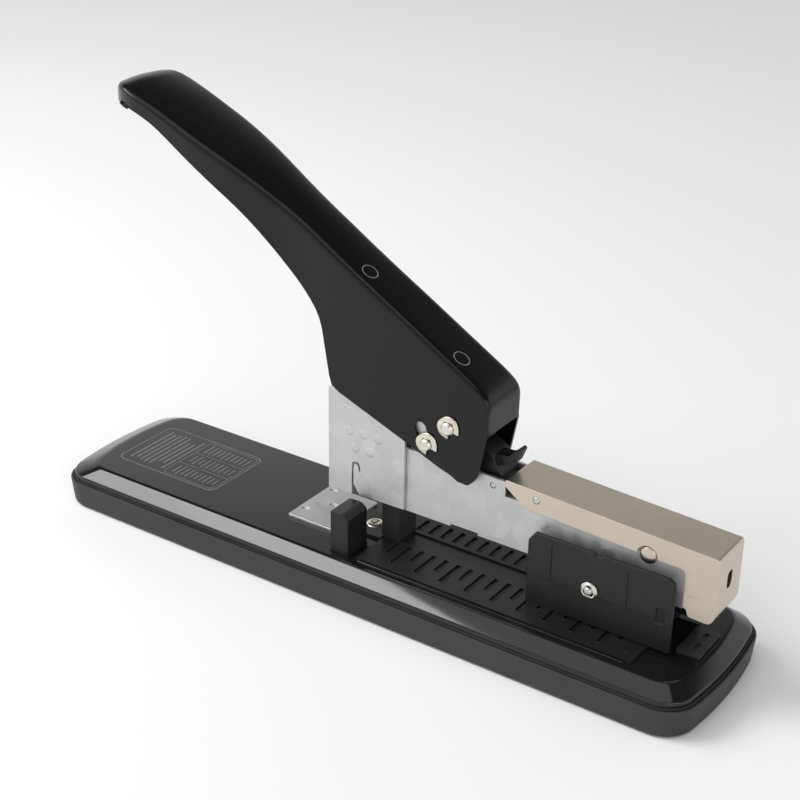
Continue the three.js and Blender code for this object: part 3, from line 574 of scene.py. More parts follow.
def refined(node: str, width: float, finish: Finish) -> bpy.types.Object:
    """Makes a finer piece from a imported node: joined corners, flat faces and rounded edges.

    Args:
        node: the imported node's name.
        width: how wide its edges are rounded, in millimetres; none for 0.
        finish: what it is dressed in.

    Returns:
        The piece, which isn't on a body yet.
    """
    made = bpy.data.objects.new(f"{node}_fine", frame["nodes"][node].data.copy())
    bpy.context.scene.collection.objects.link(made)
    tidy = bmesh.new()
    tidy.from_mesh(made.data)
    bmesh.ops.remove_doubles(tidy, verts=tidy.verts, dist=2e-6)
    if width > 0:
        flat = math.radians(0.6)
        bmesh.ops.dissolve_limit(tidy, angle_limit=flat, verts=tidy.verts, edges=tidy.edges)
    tidy.to_mesh(made.data)
    tidy.free()
    for name in [a.name for a in made.data.attributes if a.name in ("custom_normal", "sharp_edge")]:
        made.data.attributes.remove(made.data.attributes[name])
    soften(made, 35.0)
    if width > 0:
        rounded_edges(made, width)
        baked(made)
    return dressed(made, finish)


def rounded_line(corners: Sequence[tuple], steps: int, closed: bool) -> list[Point]:
    """Rounds the corners of a line.

    Args:
        corners: (across, up) or (across, up, reach of the rounding) in millimetres.
        steps: pieces in each rounding.
        closed: whether the line comes back to its start.

    Returns:
        The line's points.
    """
    line: list[Point] = []
    count = len(corners)
    for i, corner in enumerate(corners):
        here = Vector(corner[:2])
        reach = corner[2] if len(corner) > 2 else 0.0
        if reach == 0 or (not closed and i in (0, count - 1)):
            line.append(tuple(here))
            continue
        back = Vector(corners[i - 1][:2]) - here
        on = Vector(corners[(i + 1) % count][:2]) - here
        reach = min(reach, back.length / 2, on.length / 2)
        start, end = here + back.normalized() * reach, here + on.normalized() * reach
        for k in range(steps + 1):
            t = k / steps
            line.append(tuple(start * (1 - t) ** 2 + here * 2 * t * (1 - t) + end * t * t))
    return line


def prism(name: str, line: Sequence[Point], low: float, high: float) -> bpy.types.Object:
    """A side outline, in X and height above the deck, run across from one Y to another."""
    count = len(line)
    points = [(x, y, DECK + z) for y in (low, high) for x, z in line]
    faces: list[list[int]] = [list(range(count)), list(range(2 * count - 1, count - 1, -1))]
    faces += [[i, (i + 1) % count, count + (i + 1) % count, count + i] for i in range(count)]
    return object_of(name, points, faces)


def lofted(
    name: str, rings: Sequence[Sequence[Sequence[float]]], loop: bool = False
) -> bpy.types.Object:
    """Joins equal rings of points in order.

    Args:
        name: the new object's name.
        rings: the rings, in millimetres.
        loop: whether the last ring joins the first; otherwise both are closed.

    Returns:
        The object.
    """
    size, count = len(rings[0]), len(rings)
    points = [p for ring in rings for p in ring]
    faces: list[list[int]] = []
    for r in range(count if loop else count - 1):
        here, on = r * size, (r + 1) % count * size
        for i in range(size):
            j = (i + 1) % size
            faces.append([here + i, here + j, on + j, on + i])
    if not loop:
        last = (count - 1) * size
        faces += [list(range(size)), list(range(last + size - 1, last - 1, -1))]
    return object_of(name, points, faces)


def turned(
    name: str, profile: Sequence[Point], at: Sequence[float], along: Vector, sides: int = 40
) -> bpy.types.Object:
    """A turned piece.

    Args:
        name: the object's name.
        profile: pairs of radius and place along the axis; it starts and ends on the axis.
        at: where the axis starts, in millimetres.
        along: the axis's direction.
        sides: how many sides the round has.

    Returns:
        The object.
    """
    spin = Vector((0, 0, 1)).rotation_difference(along)
    inner = profile[1:-1]
    points = [Vector((0, 0, profile[0][1])), Vector((0, 0, profile[-1][1]))]
    for radius, rise in inner:
        for k in range(sides):
            a = 2 * math.pi * k / sides
            points.append(Vector((radius * math.cos(a), radius * math.sin(a), rise)))
    faces: list[list[int]] = []
    for k in range(sides):
        j = (k + 1) % sides
        faces.append([0, 2 + j, 2 + k])
        last = 2 + (len(inner) - 1) * sides
        faces.append([1, last + k, last + j])
        for r in range(len(inner) - 1):
            a, b = 2 + r * sides, 2 + (r + 1) * sides
            faces.append([a + k, a + j, b + j, b + k])
    placed = [spin @ p + Vector(at) for p in points]
    return object_of(name, placed, faces)


# ------------------------------------------------------------------------------ repeats
class Pattern:
    """A Geometry Nodes tree with named inputs, baked into a plain piece."""

    def __init__(self, name: str, inputs: dict[str, Value]) -> None:
        """Starts a tree.

        Args:
            name: the tree's and the piece's name.
            inputs: the value of each named input; a material is one of them.
        """
        kinds = {float: "NodeSocketFloat", int: "NodeSocketInt"}
        self.name = name
        self.inputs = inputs
        self.group = bpy.data.node_groups.new(name, "GeometryNodeTree")
        self.tree = Tree(self.group)
        self.ids: dict[str, str] = {}
        for label, value in inputs.items():
            kind = kinds.get(type(value), "NodeSocketMaterial")
            socket = self.group.interface.new_socket(name=label, in_out="INPUT", socket_type=kind)
            self.ids[label] = socket.identifier
        self.group.interface.new_socket(
            name="Geometry", in_out="OUTPUT", socket_type="NodeSocketGeometry"
        )
        self.entry = self.group.nodes.new("NodeGroupInput")

    def read(self, label: str) -> Wire:
        """The wire of a named input."""
        return Wire(self.tree, self.entry.outputs[label])

    def bake(self, shape: Wire, place: Matrix, smooth: float = 50.0) -> bpy.types.Object:
        """Ends the tree and turns its result into a mesh.

        Args:
            shape: the geometry that the tree makes.
            place: where it goes, in metres.
            smooth: edges sharper than this angle stay sharp.

        Returns:
            The piece, with its place in its mesh.
        """
        real = self.tree.node("GeometryNodeRealizeInstances", {}, {"Geometry": shape})
        values = {"Geometry": real, "Material": self.read("Material")}
        painted = self.tree.node("GeometryNodeSetMaterial", {}, values)
        self.tree.node("NodeGroupOutput", {}, {0: painted})
        made = object_of(self.name, [(0, 0, 0)], [])
        modifier = made.modifiers.new("pattern", "NODES")
        modifier.node_group = self.group
        for label, value in self.inputs.items():
            modifier[self.ids[label]] = value
        graph = bpy.context.evaluated_depsgraph_get()
        mesh = bpy.data.meshes.new_from_object(made.evaluated_get(graph), depsgraph=graph)
        made.modifiers.clear()
        mesh.name = self.name
        mesh.transform(place)
        made.data = mesh
        soften(made, smooth)
        return made


@dataclass
class Coil:
    """A coil spring along +Z of its own place."""

    name: str
    radius: float
    wire: float
    length: float
    turns: float

    def build(self, finish: Finish, place: Matrix) -> bpy.types.Object:
        """Winds the spring and puts it in place.

        Args:
            finish: what the coil is dressed in.
            place: where it goes, in metres.

        Returns:
            The piece, which isn't on a body yet.
        """
        inputs: dict[str, Value] = {
            "Radius": self.radius * MM,
            "Wire": self.wire * MM,
            "Length": self.length * MM,
            "Turns": float(self.turns),
            "Material": finish.material(),
        }
        pattern = Pattern(self.name, inputs)
        tree = pattern.tree
        radius = pattern.read("Radius")
        values = {
            "Resolution": 28,
            "Rotations": pattern.read("Turns"),
            "Start Radius": radius,
            "End Radius": radius,
            "Height": pattern.read("Length"),
        }
        line = tree.node("GeometryNodeCurveSpiral", {}, values)
        round_wire = {"Resolution": 10, "Radius": pattern.read("Wire") * 0.5}
        ring = tree.node("GeometryNodeCurvePrimitiveCircle", {"mode": "RADIUS"}, round_wire)
        tube = {"Curve": line, "Profile Curve": ring, "Fill Caps": True}
        shape = tree.node("GeometryNodeCurveToMesh", {}, tube)
        return pattern.bake(shape, place)


@dataclass
class SlotRims:
    """Thin raised rims round a row of slots in the bed."""

    name: str
    count: int
    pitch: float
    width: float
    length: float
    wire: float = 0.34

    def build(self, finish: Finish, place: Matrix) -> bpy.types.Object:
        """Lays a row of rims along +X from its place.

        Args:
            finish: what the row is dressed in.
            place: where it goes, in metres.

        Returns:
            The piece, which isn't on a body yet.
        """
        inputs: dict[str, Value] = {
            "Count": self.count,
            "Pitch": self.pitch * MM,
            "Width": self.width * MM,
            "Length": self.length * MM,
            "Wire": self.wire * MM,
            "Material": finish.material(),
        }
        pattern = Pattern(self.name, inputs)
        tree = pattern.tree
        step = tree.node("ShaderNodeCombineXYZ", {}, {0: pattern.read("Pitch")})
        line = {"Count": pattern.read("Count"), "Offset": step}
        points = tree.node("GeometryNodeMeshLine", {"mode": "OFFSET"}, line)
        frame_size = {"Width": pattern.read("Width"), "Height": pattern.read("Length")}
        shape_of_rim = "GeometryNodeCurvePrimitiveQuadrilateral"
        rim = tree.node(shape_of_rim, {"mode": "RECTANGLE"}, frame_size)
        corner = {"Curve": rim, "Radius": pattern.read("Width") * 0.35, "Count": 3}
        rim = tree.node("GeometryNodeFilletCurve", {"mode": "POLY"}, corner)
        round_wire = {"Resolution": 8, "Radius": pattern.read("Wire") * 0.5}
        ring = tree.node("GeometryNodeCurvePrimitiveCircle", {"mode": "RADIUS"}, round_wire)
        body = tree.node("GeometryNodeCurveToMesh", {}, {"Curve": rim, "Profile Curve": ring})
        shape = tree.node("GeometryNodeInstanceOnPoints", {}, {"Points": points, "Instance": body})
        return pattern.bake(shape, place)


@dataclass
class Bars:
    """Rows and columns of printed bars whose lengths vary, as a generic table would print."""

    name: str
    rows: int
    columns: int
    row_pitch: float
    column_pitch: float
    length: float
    width: float
    least: float = 0.5
    seed: int = 7

    def build(self, finish: Finish, place: Matrix) -> bpy.types.Object:
        """Prints the bars around the middle of their place.

        Args:
            finish: what the bars are dressed in.
            place: where it goes, in metres.

        Returns:
            The piece, which isn't on a body yet.
        """
        inputs: dict[str, Value] = {
            "Rows": self.rows,
            "Columns": self.columns,
            "Row Pitch": self.row_pitch * MM,
            "Column Pitch": self.column_pitch * MM,
            "Bar Length": self.length * MM,
            "Bar Width": self.width * MM,
            "Least": float(self.least),
            "Seed": self.seed,
            "Material": finish.material(),
        }
        pattern = Pattern(self.name, inputs)
        tree = pattern.tree
        rows, columns = pattern.read("Rows"), pattern.read("Columns")
        grid = {
            "Size X": pattern.read("Row Pitch") * (rows - 1),
            "Size Y": pattern.read("Column Pitch") * (columns - 1),
            "Vertices X": rows,
            "Vertices Y": columns,
        }
        points = tree.node("GeometryNodeMeshGrid", {}, grid)
        size = {0: pattern.read("Bar Width"), 1: pattern.read("Bar Length"), 2: 0.04 * MM}
        block = tree.node("ShaderNodeCombineXYZ", {}, size)
        bar = tree.node("GeometryNodeMeshCube", {}, {0: block})
        pick = {"Min": pattern.read("Least"), "Max": 1.0, "Seed": pattern.read("Seed")}
        share = tree.tree.nodes.new("FunctionNodeRandomValue")
        share.data_type = "FLOAT"
        for socket in share.inputs:
            if socket.enabled and socket.name in pick:
                tree.feed(socket, pick[socket.name])
        found = next(s for s in share.outputs if s.enabled)
        scale = tree.node("ShaderNodeCombineXYZ", {}, {0: 1.0, 1: Wire(tree, found), 2: 1.0})
        values = {"Points": points, "Instance": bar, "Scale": scale}
        shape = tree.node("GeometryNodeInstanceOnPoints", {}, values)
        return pattern.bake(shape, place, 30.0)


@dataclass
class Clinches:
    """Two staggered rows of round clinch marks in a sheet."""

    name: str
    pitch: float = 6.5
    drop: float = 6.6
    radius: float = 2.0
    height: float = 0.2
    shift: float = 0.42

    def build(self, finish: Finish, place: Matrix) -> bpy.types.Object:
        """Makes the marks in the XY plane of their place, raised along its Z.

        Args:
            finish: what the marks are dressed in.
            place: where it goes, in metres.

        Returns:
            The piece, which isn't on a body yet.
        """
        inputs: dict[str, Value] = {
            "Pitch": self.pitch * MM,
            "Drop": self.drop * MM,
            "Radius": self.radius * MM,
            "Height": self.height * MM,
            "Shift": float(self.shift),
            "Material": finish.material(),
        }
        pattern = Pattern(self.name, inputs)
        tree = pattern.tree
        pitch = pattern.read("Pitch")
        step = tree.node("ShaderNodeCombineXYZ", {}, {0: pitch})
        upper = tree.node("GeometryNodeMeshLine", {"mode": "OFFSET"}, {"Count": 3, "Offset": step})
        offset = {0: pitch * pattern.read("Shift"), 1: pattern.read("Drop") * -1.0}
        start = tree.node("ShaderNodeCombineXYZ", {}, offset)
        second = {"Count": 2, "Start Location": start, "Offset": step}
        lower = tree.node("GeometryNodeMeshLine", {"mode": "OFFSET"}, second)
        points = tree.node("GeometryNodeJoinGeometry", {}, {0: (upper, lower)})
        radius = pattern.read("Radius")
        height = pattern.read("Height")
        rings = []
        for top, bottom, tall in ((0.72, 1.0, 1.0), (0.5, 0.5, 1.3)):
            size = {
                "Vertices": 28,
                "Radius Top": radius * top,
                "Radius Bottom": radius * bottom,
                "Depth": height * tall,
            }
            rings.append(tree.node("GeometryNodeMeshCone", {}, size))
        both = tree.node("GeometryNodeJoinGeometry", {}, {0: tuple(rings)})
        values = {"Points": points, "Instance": both}
        shape = tree.node("GeometryNodeInstanceOnPoints", {}, values)
        return pattern.bake(shape, place, 30.0)


# ------------------------------------------------------------------------------ base
@dataclass
class Base:
    """The base: a flared skirt, a glossy pressed shell, four feet and what lies on the deck."""

    length: float = 291.0
    width: float = 71.0
    bow: float = 3.6
    corner: float = 13.0
    flare: float = 0.8
    foot: float = 0.5
    lip: float = 11.4
    rim: float = 12.0
    inset: float = 1.6
    shoulder: float = 6.3
    rear_shoulder: float = 4.6
    sheet: float = 1.5

    def ring(self, inset: float, z: float, rear: float = 0.0) -> list[tuple[float, float, float]]:
        """A ring round the base.

        Args:
            inset: how far inside the outline it runs.
            z: its height.
            rear: how much further the rear end is drawn in.

        Returns:
            The ring's points.
        """
        half_x, half_y = self.length / 2 - inset, self.width / 2 - inset
        corner = max(self.corner - inset * 0.6, 2.0)
        lean = math.atan(2 * self.bow / half_y * 0.8)
        turn_y = half_y - corner * (1 - math.sin(lean))
        turn_x = half_x - self.bow * (turn_y / half_y) ** 2
        quarter = []
        for i in range(12):
            y = turn_y * i / 12
            quarter.append((half_x - self.bow * (y / half_y) ** 2, y))
        for i in range(21):
            a = lean + (math.pi / 2 - lean) * i / 20
            x = turn_x - corner * (math.cos(lean) - math.cos(a))
            quarter.append((x, turn_y + corner * (math.sin(a) - math.sin(lean))))
        rows = 16
        last = quarter[-1]
        for i in range(1, rows):
            quarter.append((last[0] * (1 - i / rows), last[1]))
        half = quarter + [(0.0, last[1])] + [(-x, y) for x, y in quarter[:0:-1]]
        whole = half + [(-half_x, 0.0)] + [(x, -y) for x, y in half[:0:-1]]
        return [(x + rear * self.rear_share(x), y, z) for x, y in whole]

    def rear_share(self, x: float) -> float:
        """How much of the rear's drawing-in reaches a point: all of it at the rear end."""
        share = min(max((-x - 60.0) / (self.length / 2 - 60.0 - self.corner), 0.0), 1.0)
        return share * share * (3 - 2 * share)

    def skirt(self) -> bpy.types.Object:
        """The moulded skirt, open above, with a soft edge round its lip."""
        lip, foot, flare = self.lip, self.foot, self.flare
        rings = [
            self.ring(4.4, foot + 2.0),
            self.ring(4.4, self.rim),
            self.ring(1.2, self.rim),
            self.ring(1.2, lip - 0.5),
            self.ring(0.75, lip - 0.05),
            self.ring(0.45, lip),
            self.ring(0.12, lip - 0.14),
            self.ring(0.0, lip - 0.5),
            self.ring(flare * 0.4, lip * 0.62),
            self.ring(flare * 0.75, lip * 0.34),
            self.ring(flare, foot + 1.2),
            self.ring(flare + 0.14, foot + 0.5),
            self.ring(flare + 0.5, foot + 0.1),
            self.ring(flare + 0.9, foot),
        ]
        made = lofted("base_skirt_fine", rings)
        weighted_normals(made)
        baked(made, 50.0)
        return settled(dressed(made, SKIRT), "base", "base_skirt")

    def shell(self) -> bpy.types.Object:
        """The pressed shell: an upright rim rolling over a shoulder into the deck."""
        outer = [self.ring(self.inset + 0.25, self.rim), self.ring(self.inset, self.rim + 0.25)]
        inner = [self.ring(self.inset + self.sheet, self.rim)]
        slope = [(0.0, 0.7), (0.0, 1.9, 0.8), (2.6, 3.88, 2.4), (5.2, 5.72, 1.0)]
        slope.append((self.shoulder, 6.0))
        for i, (across, up) in enumerate(rounded_line(slope, 6, False)):
            drawn, rear = self.inset + across, self.rear_shoulder * across / self.shoulder
            outer.append(self.ring(drawn, self.rim + up, rear))
            if i % 4 == 0 or across == self.shoulder:
                low = self.rim + max(up - self.sheet, 0.35 + 0.1 * i / 6)
                inner.append(self.ring(drawn + self.sheet, low, rear))
        made = lofted("base_shell_fine", inner[::-1] + outer)
        low, high = box_of("lock_button")
        room = 0.3
        y0, y1 = low.y - room, high.y + room
        x0, x1 = low.x + 1.2 - room, high.x - 1.2 + room
        hole = [(x0, -9.0), (x1, -9.0), (x1, 4.0), (x0, 4.0)]
        carve(made, prism("button_hole", hole, y0, y1))
        weighted_normals(made)
        baked(made, 50.0)
        return settled(dressed(made, DECK_PAINT), "base", "base_shell")

    def label(self) -> None:
        """The printed table on the rear of the deck, with plain bars in place of words."""
        top = (DECK + 0.012) * MM
        blocks = [
            Bars("label_heading", 8, 1, 2.5, 1.0, 28.0, 0.75, 0.6, 3),
            Bars("label_table", 10, 3, 2.3, 10.2, 8.0, 0.6, 0.5, 11),
        ]
        middles = [(-113.8, 0.0), (-89.2, 0.0)]
        for block, (x, y) in zip(blocks, middles):
            made = block.build(INK, Matrix.Translation((x * MM, y * MM, top)))
            settled(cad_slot(made), "base")
        self.label_frame()

    def label_frame(self) -> None:
        """Two fine rounded lines round the printed table, and the lines between its cells."""
        rear, front, half = -127.0, -75.0, 17.0
        z = DECK + 0.02
        lines = [
            (rear, front, -half, half, 4.0, 0.45),
            (-103.0, front - 1.4, -half + 1.4, half - 1.4, 2.6, 0.3),
        ]
        for i, (x0, x1, y0, y1, reach, wide) in enumerate(lines):
            rings = []
            for inset in (0.0, wide):
                box = [(x0 + inset, y0 + inset, reach), (x1 - inset, y0 + inset, reach)]
                box += [(x1 - inset, y1 - inset, reach), (x0 + inset, y1 - inset, reach)]
                rings.append(rounded_line(box, 8, True))
            outer, inner = rings
            under, over = -0.02, 0.01
            levels = ((outer, under), (outer, over), (inner, over), (inner, under))
            stack = [[(x, y, z + h) for x, y in line] for line, h in levels]
            made = lofted(f"label_frame_{i + 1}", stack, loop=True)
            settled(dressed(made, INK), "base")
        rules = Bars("label_rules", 2, 1, 10.2, 1.0, 26.4, 0.25, 1.0, 1)
        turn = Matrix.Rotation(math.pi / 2, 4, "Z")
        made = rules.build(INK, Matrix.Translation((-89.7 * MM, 0, (DECK + 0.012) * MM)) @ turn)
        settled(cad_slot(made), "base")

    def feet(self) -> None:
        """Four turned rubber feet."""
        for i in range(1, 5):
            low, high = box_of(f"rubber_foot_{i}")
            radius, top = (high.x - low.x) / 2, high.z
            profile = [(0, 0), (radius - 0.6, 0), (radius - 0.2, 0.15), (radius, 0.6)]
            profile += [(radius, top), (0, top)]
            at = ((low.x + high.x) / 2, (low.y + high.y) / 2, 0)
            made = turned(f"rubber_foot_{i}_fine", profile, at, Vector((0, 0, 1)))
            soften(made, 40.0)
            settled(dressed(made, RUBBER), "base", f"rubber_foot_{i}")

    def bed(self) -> None:
        """The slotted bed, the rims of its slots and the two guide ridges beside it."""
        settled(refined("slot_rail", 0, BLACK), "base", "slot_rail")
        top = DECK + 0.9
        rows = [
            ("far_slot_rims", 20, 10.2, 10.25, 7.5),
            ("near_short_rims", 10, 10.2, -10.75, 8.5),
            ("near_long_rims", 10, 15.7, -13.4, 13.8),
        ]
        for name, count, x, y, length in rows:
            pitch = 5.5 if count == 20 else 11.0
            rims = SlotRims(name, count, pitch, 2.1, length + 0.5)
            made = rims.build(BLACK, Matrix.Translation((x * MM, y * MM, top * MM)))
            settled(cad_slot(made), "base")
        for side in Side:
            y0, y1 = sorted((side.value * 24.9, side.value * 25.7))
            line = [(4.0, -0.2), (116.0, -0.2), (116.0, 0.45), (4.0, 0.45)]
            made = prism(f"bed_ridge_{side.word}", line, y0, y1)
            rounded_edges(made, 0.25, 3)
            settled(dressed(baked(made), DECK_PAINT), "base")

    def fittings(self) -> None:
        """Foot plate, anvil, screw, push block and its spring."""
        settled(refined("foot_plate", 0.15, ZINC), "base", "foot_plate")
        settled(refined("anvil", 0.2, OXIDE), "base", "anvil")
        low, high = box_of("deck_screw")
        head = (high.x - low.x) / 2
        middle = ((low.x + high.x) / 2, 0.0, high.z - 3.0)
        profile = [(0, -2.4), (2.0, -2.4), (2.0, 0), (head, 0), (head, 0.7), (head * 0.97, 1.0)]
        profile += [(head * 0.86, 1.5), (head * 0.66, 1.8), (2.0, 1.9), (1.7, 1.8)]
        profile += [(1.5, 0.9), (0, 0.8)]
        made = turned("deck_screw_fine", profile, middle, Vector((0, 0, 1)), 48)
        soften(made, 42.0)
        settled(dressed(made, BRIGHT), "base", "deck_screw")
        settled(refined("lock_button", 0.45, BLACK), "button", "lock_button")
        low, high = box_of("lock_spring")
        coil = Coil("lock_spring_fine", 2.4, 0.9, high.z - low.z - 0.9, 4.0)
        place = Matrix.Translation((Vector((-4.85, (low.y + high.y) / 2, low.z + 0.45)) * MM))
        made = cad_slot(coil.build(STEEL, place))
        settled(made, "base", "lock_spring")
        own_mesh(made)

    def build(self) -> None:
        """Builds the whole base."""
        self.skirt()
        self.shell()
        self.label()
        self.feet()
        self.bed()
        self.fittings()


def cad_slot(piece: bpy.types.Object) -> bpy.types.Object:
    """Gives back a piece whose material is already set, unchanged."""
    return piece


# ------------------------------------------------------------------------------ stand
@dataclass
class Stand:
    """The galvanised stand with its clinch marks, and the dark bracket inside it."""

    wall: float = 9.6
    seam: float = 14.0

    def build(self) -> None:
        """Builds the stand and what is fixed in it."""
        settled(refined("stand", 0.16, ZINC), "base", "stand")
        settled(refined("support_bracket", 0.2, OXIDE), "base", "support_bracket")
        settled(refined("arm_pivot_pin", 0.15, STEEL), "base", "arm_pivot_pin")
        for side in Side:
            turn = Matrix.Rotation(math.pi / 2, 4, "X")
            start, shift = -11.0, 0.42
            if side is Side.FAR:
                turn = Matrix.Rotation(math.pi, 4, "Z") @ turn
                start, shift = 2.0, 0.58
            at = Vector((start, side.value * self.wall, DECK + 44.3)) * MM
            marks = Clinches(f"stand_clinches_{side.word}", shift=shift)
            made = marks.build(ZINC, Matrix.Translation(at) @ turn)
            settled(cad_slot(made), "base")
            line = [(self.seam - 0.35, 18.6), (self.seam - 0.02, 18.6)]
            line += [(self.seam - 0.02, 46.0), (self.seam - 0.35, 46.0)]
            y0, y1 = sorted((side.value * (self.wall - 0.4), side.value * (self.wall + 0.03)))
            made = prism(f"stand_edge_{side.word}", line, y0, y1)
            settled(dressed(made, STEEL), "base")


# ------------------------------------------------------------------------------ handle
@dataclass
class Handle:
    """The pressed lever handle: a channel open below, flaring into a crowned grip."""

    front_half: float = 11.0
    grip_half: float = 16.6
    flare_start: float = -28.0
    flare_length: float = 55.0
    tip: float = -123.6
    taper: float = 18.0
    sheet: float = 1.1
    crown: float = 0.9
    axle: Point = (33.9, 59.4)
    pin_reach: float = 12.9
    pin_angle: float = 225.6
    travel: float = 28.0
    shoulder: float = 2.2
    ribs: int = 9
    bend: int = 5
    across: int = 14

    def half_width(self, x: float) -> float:
        """Works out half of the handle's width.

        Args:
            x: the place along X, in millimetres.

        Returns:
            Half the width there.
        """
        along = min(max((self.flare_start - x) / self.flare_length, 0.0), 1.0)
        flare = along * along * (3 - 2 * along)
        end = min(max((self.tip + self.taper - x) / self.taper, 0.0), 1.0)
        full = self.front_half + (self.grip_half - self.front_half) * flare
        return full * math.sqrt(max(1 - end * end, 0.05))

    def lines(self) -> tuple[list[Point], list[Point]]:
        """The line over the top, from under the tip to the front, and the lower edge."""
        over = [
            (-113.0, 154.3), (-121.2, 155.0, 3), (-123.2, 158.8, 3), (-115.0, 162.6, 7),
            (-98.0, 156.5, 14), (-73.0, 145.6, 14), (-58.8, 138.8, 14), (-32.1, 124.1, 14),
            (-10.7, 110.6, 14), (45.2, 77.7, 5), (50.2, 73.6, 4), (49.9, 60.4),
        ]
        under = [
            (-111.5, 154.0), (-98.2, 149.6, 14), (-74.8, 134.4, 14), (-56.1, 121.6, 14),
            (-40.9, 107.5, 14), (-30.4, 97.0, 10), (-23.7, 88.2, 10), (-18.9, 61.1, 3),
            (15.2, 48.0, 3), (30.6, 41.8, 1.5), (35.0, 40.7, 4), (41.0, 37.2, 4),
            (46.6, 42.4, 5), (49.85, 60.0),
        ]
        marks_over = [
            (-113.0, 154.3), (-110.0, 161.3), (-73.0, 145.6), (-32.1, 124.1),
            (4.0, 101.7), (45.2, 77.7), (49.9, 60.4),
        ]
        marks_under = [
            (-111.5, 154.0), (-105.0, 151.8), (-78.0, 136.5), (-40.9, 107.5),
            (-18.9, 61.6), (42.0, 38.5), (49.85, 60.0),
        ]
        counts = [12, 14, 14, 14, 16, 16]
        first = spread(rounded_line(over, 8, False), marks_over, counts)
        second = spread(rounded_line(under, 8, False), marks_under, counts)
        return first, second

    def shell(self) -> bpy.types.Object:
        """The handle's sheet, with its curved slots and axle holes."""
        over, under = self.lines()
        points = [p for top, low in zip(over, under) for p in self.section(top, low)]
        size = 2 * (self.ribs + self.bend) + self.across + 1
        faces = []
        for r in range(len(over) - 1):
            for i in range(size - 1):
                a = r * size + i
                faces.append([a, a + 1, a + size + 1, a + size])
        made = object_of("handle_shell_fine", points, faces)
        mesh = made.data
        if sum(p.normal.z * p.area for p in mesh.polygons) < 0:
            mesh.flip_normals()
        wall = made.modifiers.new("sheet", "SOLIDIFY")
        wall.thickness = self.sheet * MM
        wall.offset = -1
        wall.use_even_offset = False
        baked(made)
        cutters = [self.slot_cutter()]
        circle = [
            (self.axle[0] + 2.6 * math.cos(a), self.axle[1] + 2.6 * math.sin(a))
            for a in (2 * math.pi * k / 40 for k in range(40))
        ]
        cutters.append(prism("axle_hole", circle, -20, 20))
        carve(made, *cutters)
        weighted_normals(made)
        baked(made, 50.0)
        return settled(dressed(made, HANDLE_PAINT), "handle", "handle_shell")

    def section(self, top: Point, low: Point) -> list[tuple[float, float, float]]:
        """One section of the sheet, from the near lower edge over the top to the far one.

        Args:
            top: its middle, on the line over the top.
            low: its lower edge, on the line underneath.

        Returns:
            The section's points.
        """
        length = math.dist(top, low)
        half = self.half_width(top[0])
        bend = min(self.shoulder, length * 0.45, half * 0.4)
        spots = [((length - bend) * k / self.ribs, 0.0) for k in range(self.ribs)]
        for k in range(self.bend):
            a = math.pi / 2 * k / self.bend
            spots.append((length - bend * (1 - math.sin(a)), bend * (1 - math.cos(a))))
        sink = self.crown * min(max((20.0 - top[0]) / 60.0, 0.12), 1.0)
        near = []
        for along, drawn in spots:
            t = along / length
            x, z = low[0] + (top[0] - low[0]) * t, low[1] + (top[1] - low[1]) * t
            y = self.half_width(x) - drawn
            near.append((x, -y, DECK + z - sink * (y / half) ** 2 * max(2 * t - 1, 0.0)))
        flat = half - bend
        over = []
        for k in range(self.across + 1):
            y = flat * (2 * k / self.across - 1)
            over.append((top[0], y, DECK + top[1] - sink * (y / half) ** 2))
        return near + over + [(x, -y, z) for x, y, z in reversed(near)]

    def slot_cutter(self) -> bpy.types.Object:
        """The curved slots that run over the limit pins."""
        half = 2.6
        start, end = self.pin_angle + 0.6, self.pin_angle - self.travel - 0.6
        x, z = self.axle

        def at(radius: float, degrees: float) -> Point:
            """The point at a distance and an angle from the handle's axle."""
            a = math.radians(degrees)
            return (x + radius * math.cos(a), z + radius * math.sin(a))

        steps = 18
        angles = [end + (start - end) * k / steps for k in range(steps + 1)]
        line = [at(self.pin_reach + half, a) for a in angles]
        for stop, first in ((start, start), (end, end + 180)):
            centre = at(self.pin_reach, stop)
            for k in range(1, 10):
                a = math.radians(first + 180 * k / 10)
                line.append((centre[0] + half * math.cos(a), centre[1] + half * math.sin(a)))
            if first == start:
                line += [at(self.pin_reach - half, a) for a in reversed(angles)]
        return prism("limit_slots", line, -20, 20)

    def marks(self) -> None:
        """Two faint plain rings on the top, in place of any stamped marks."""
        slope = math.atan2(77.7 - 110.6, 45.2 + 10.7)
        steps = 40
        for i, x in enumerate((-6.0, 34.0)):
            z = 110.6 + (x + 10.7) * math.tan(slope)
            place = Matrix.Translation(Vector((x, -4.2, DECK + z + 0.02)) * MM)
            place = place @ Matrix.Rotation(-slope, 4, "Y")
            rings = []
            for k in range(steps):
                a = 2 * math.pi * k / steps
                profile = ((2.9, 0.0), (3.3, 0.0), (3.3, 0.05), (2.9, 0.05))
                rings.append([(r * math.cos(a), r * math.sin(a), h) for r, h in profile])
            made = lofted(f"handle_ring_{i + 1}", rings, loop=True)
            made.data.transform(place)
            settled(dressed(made, INK), "handle")

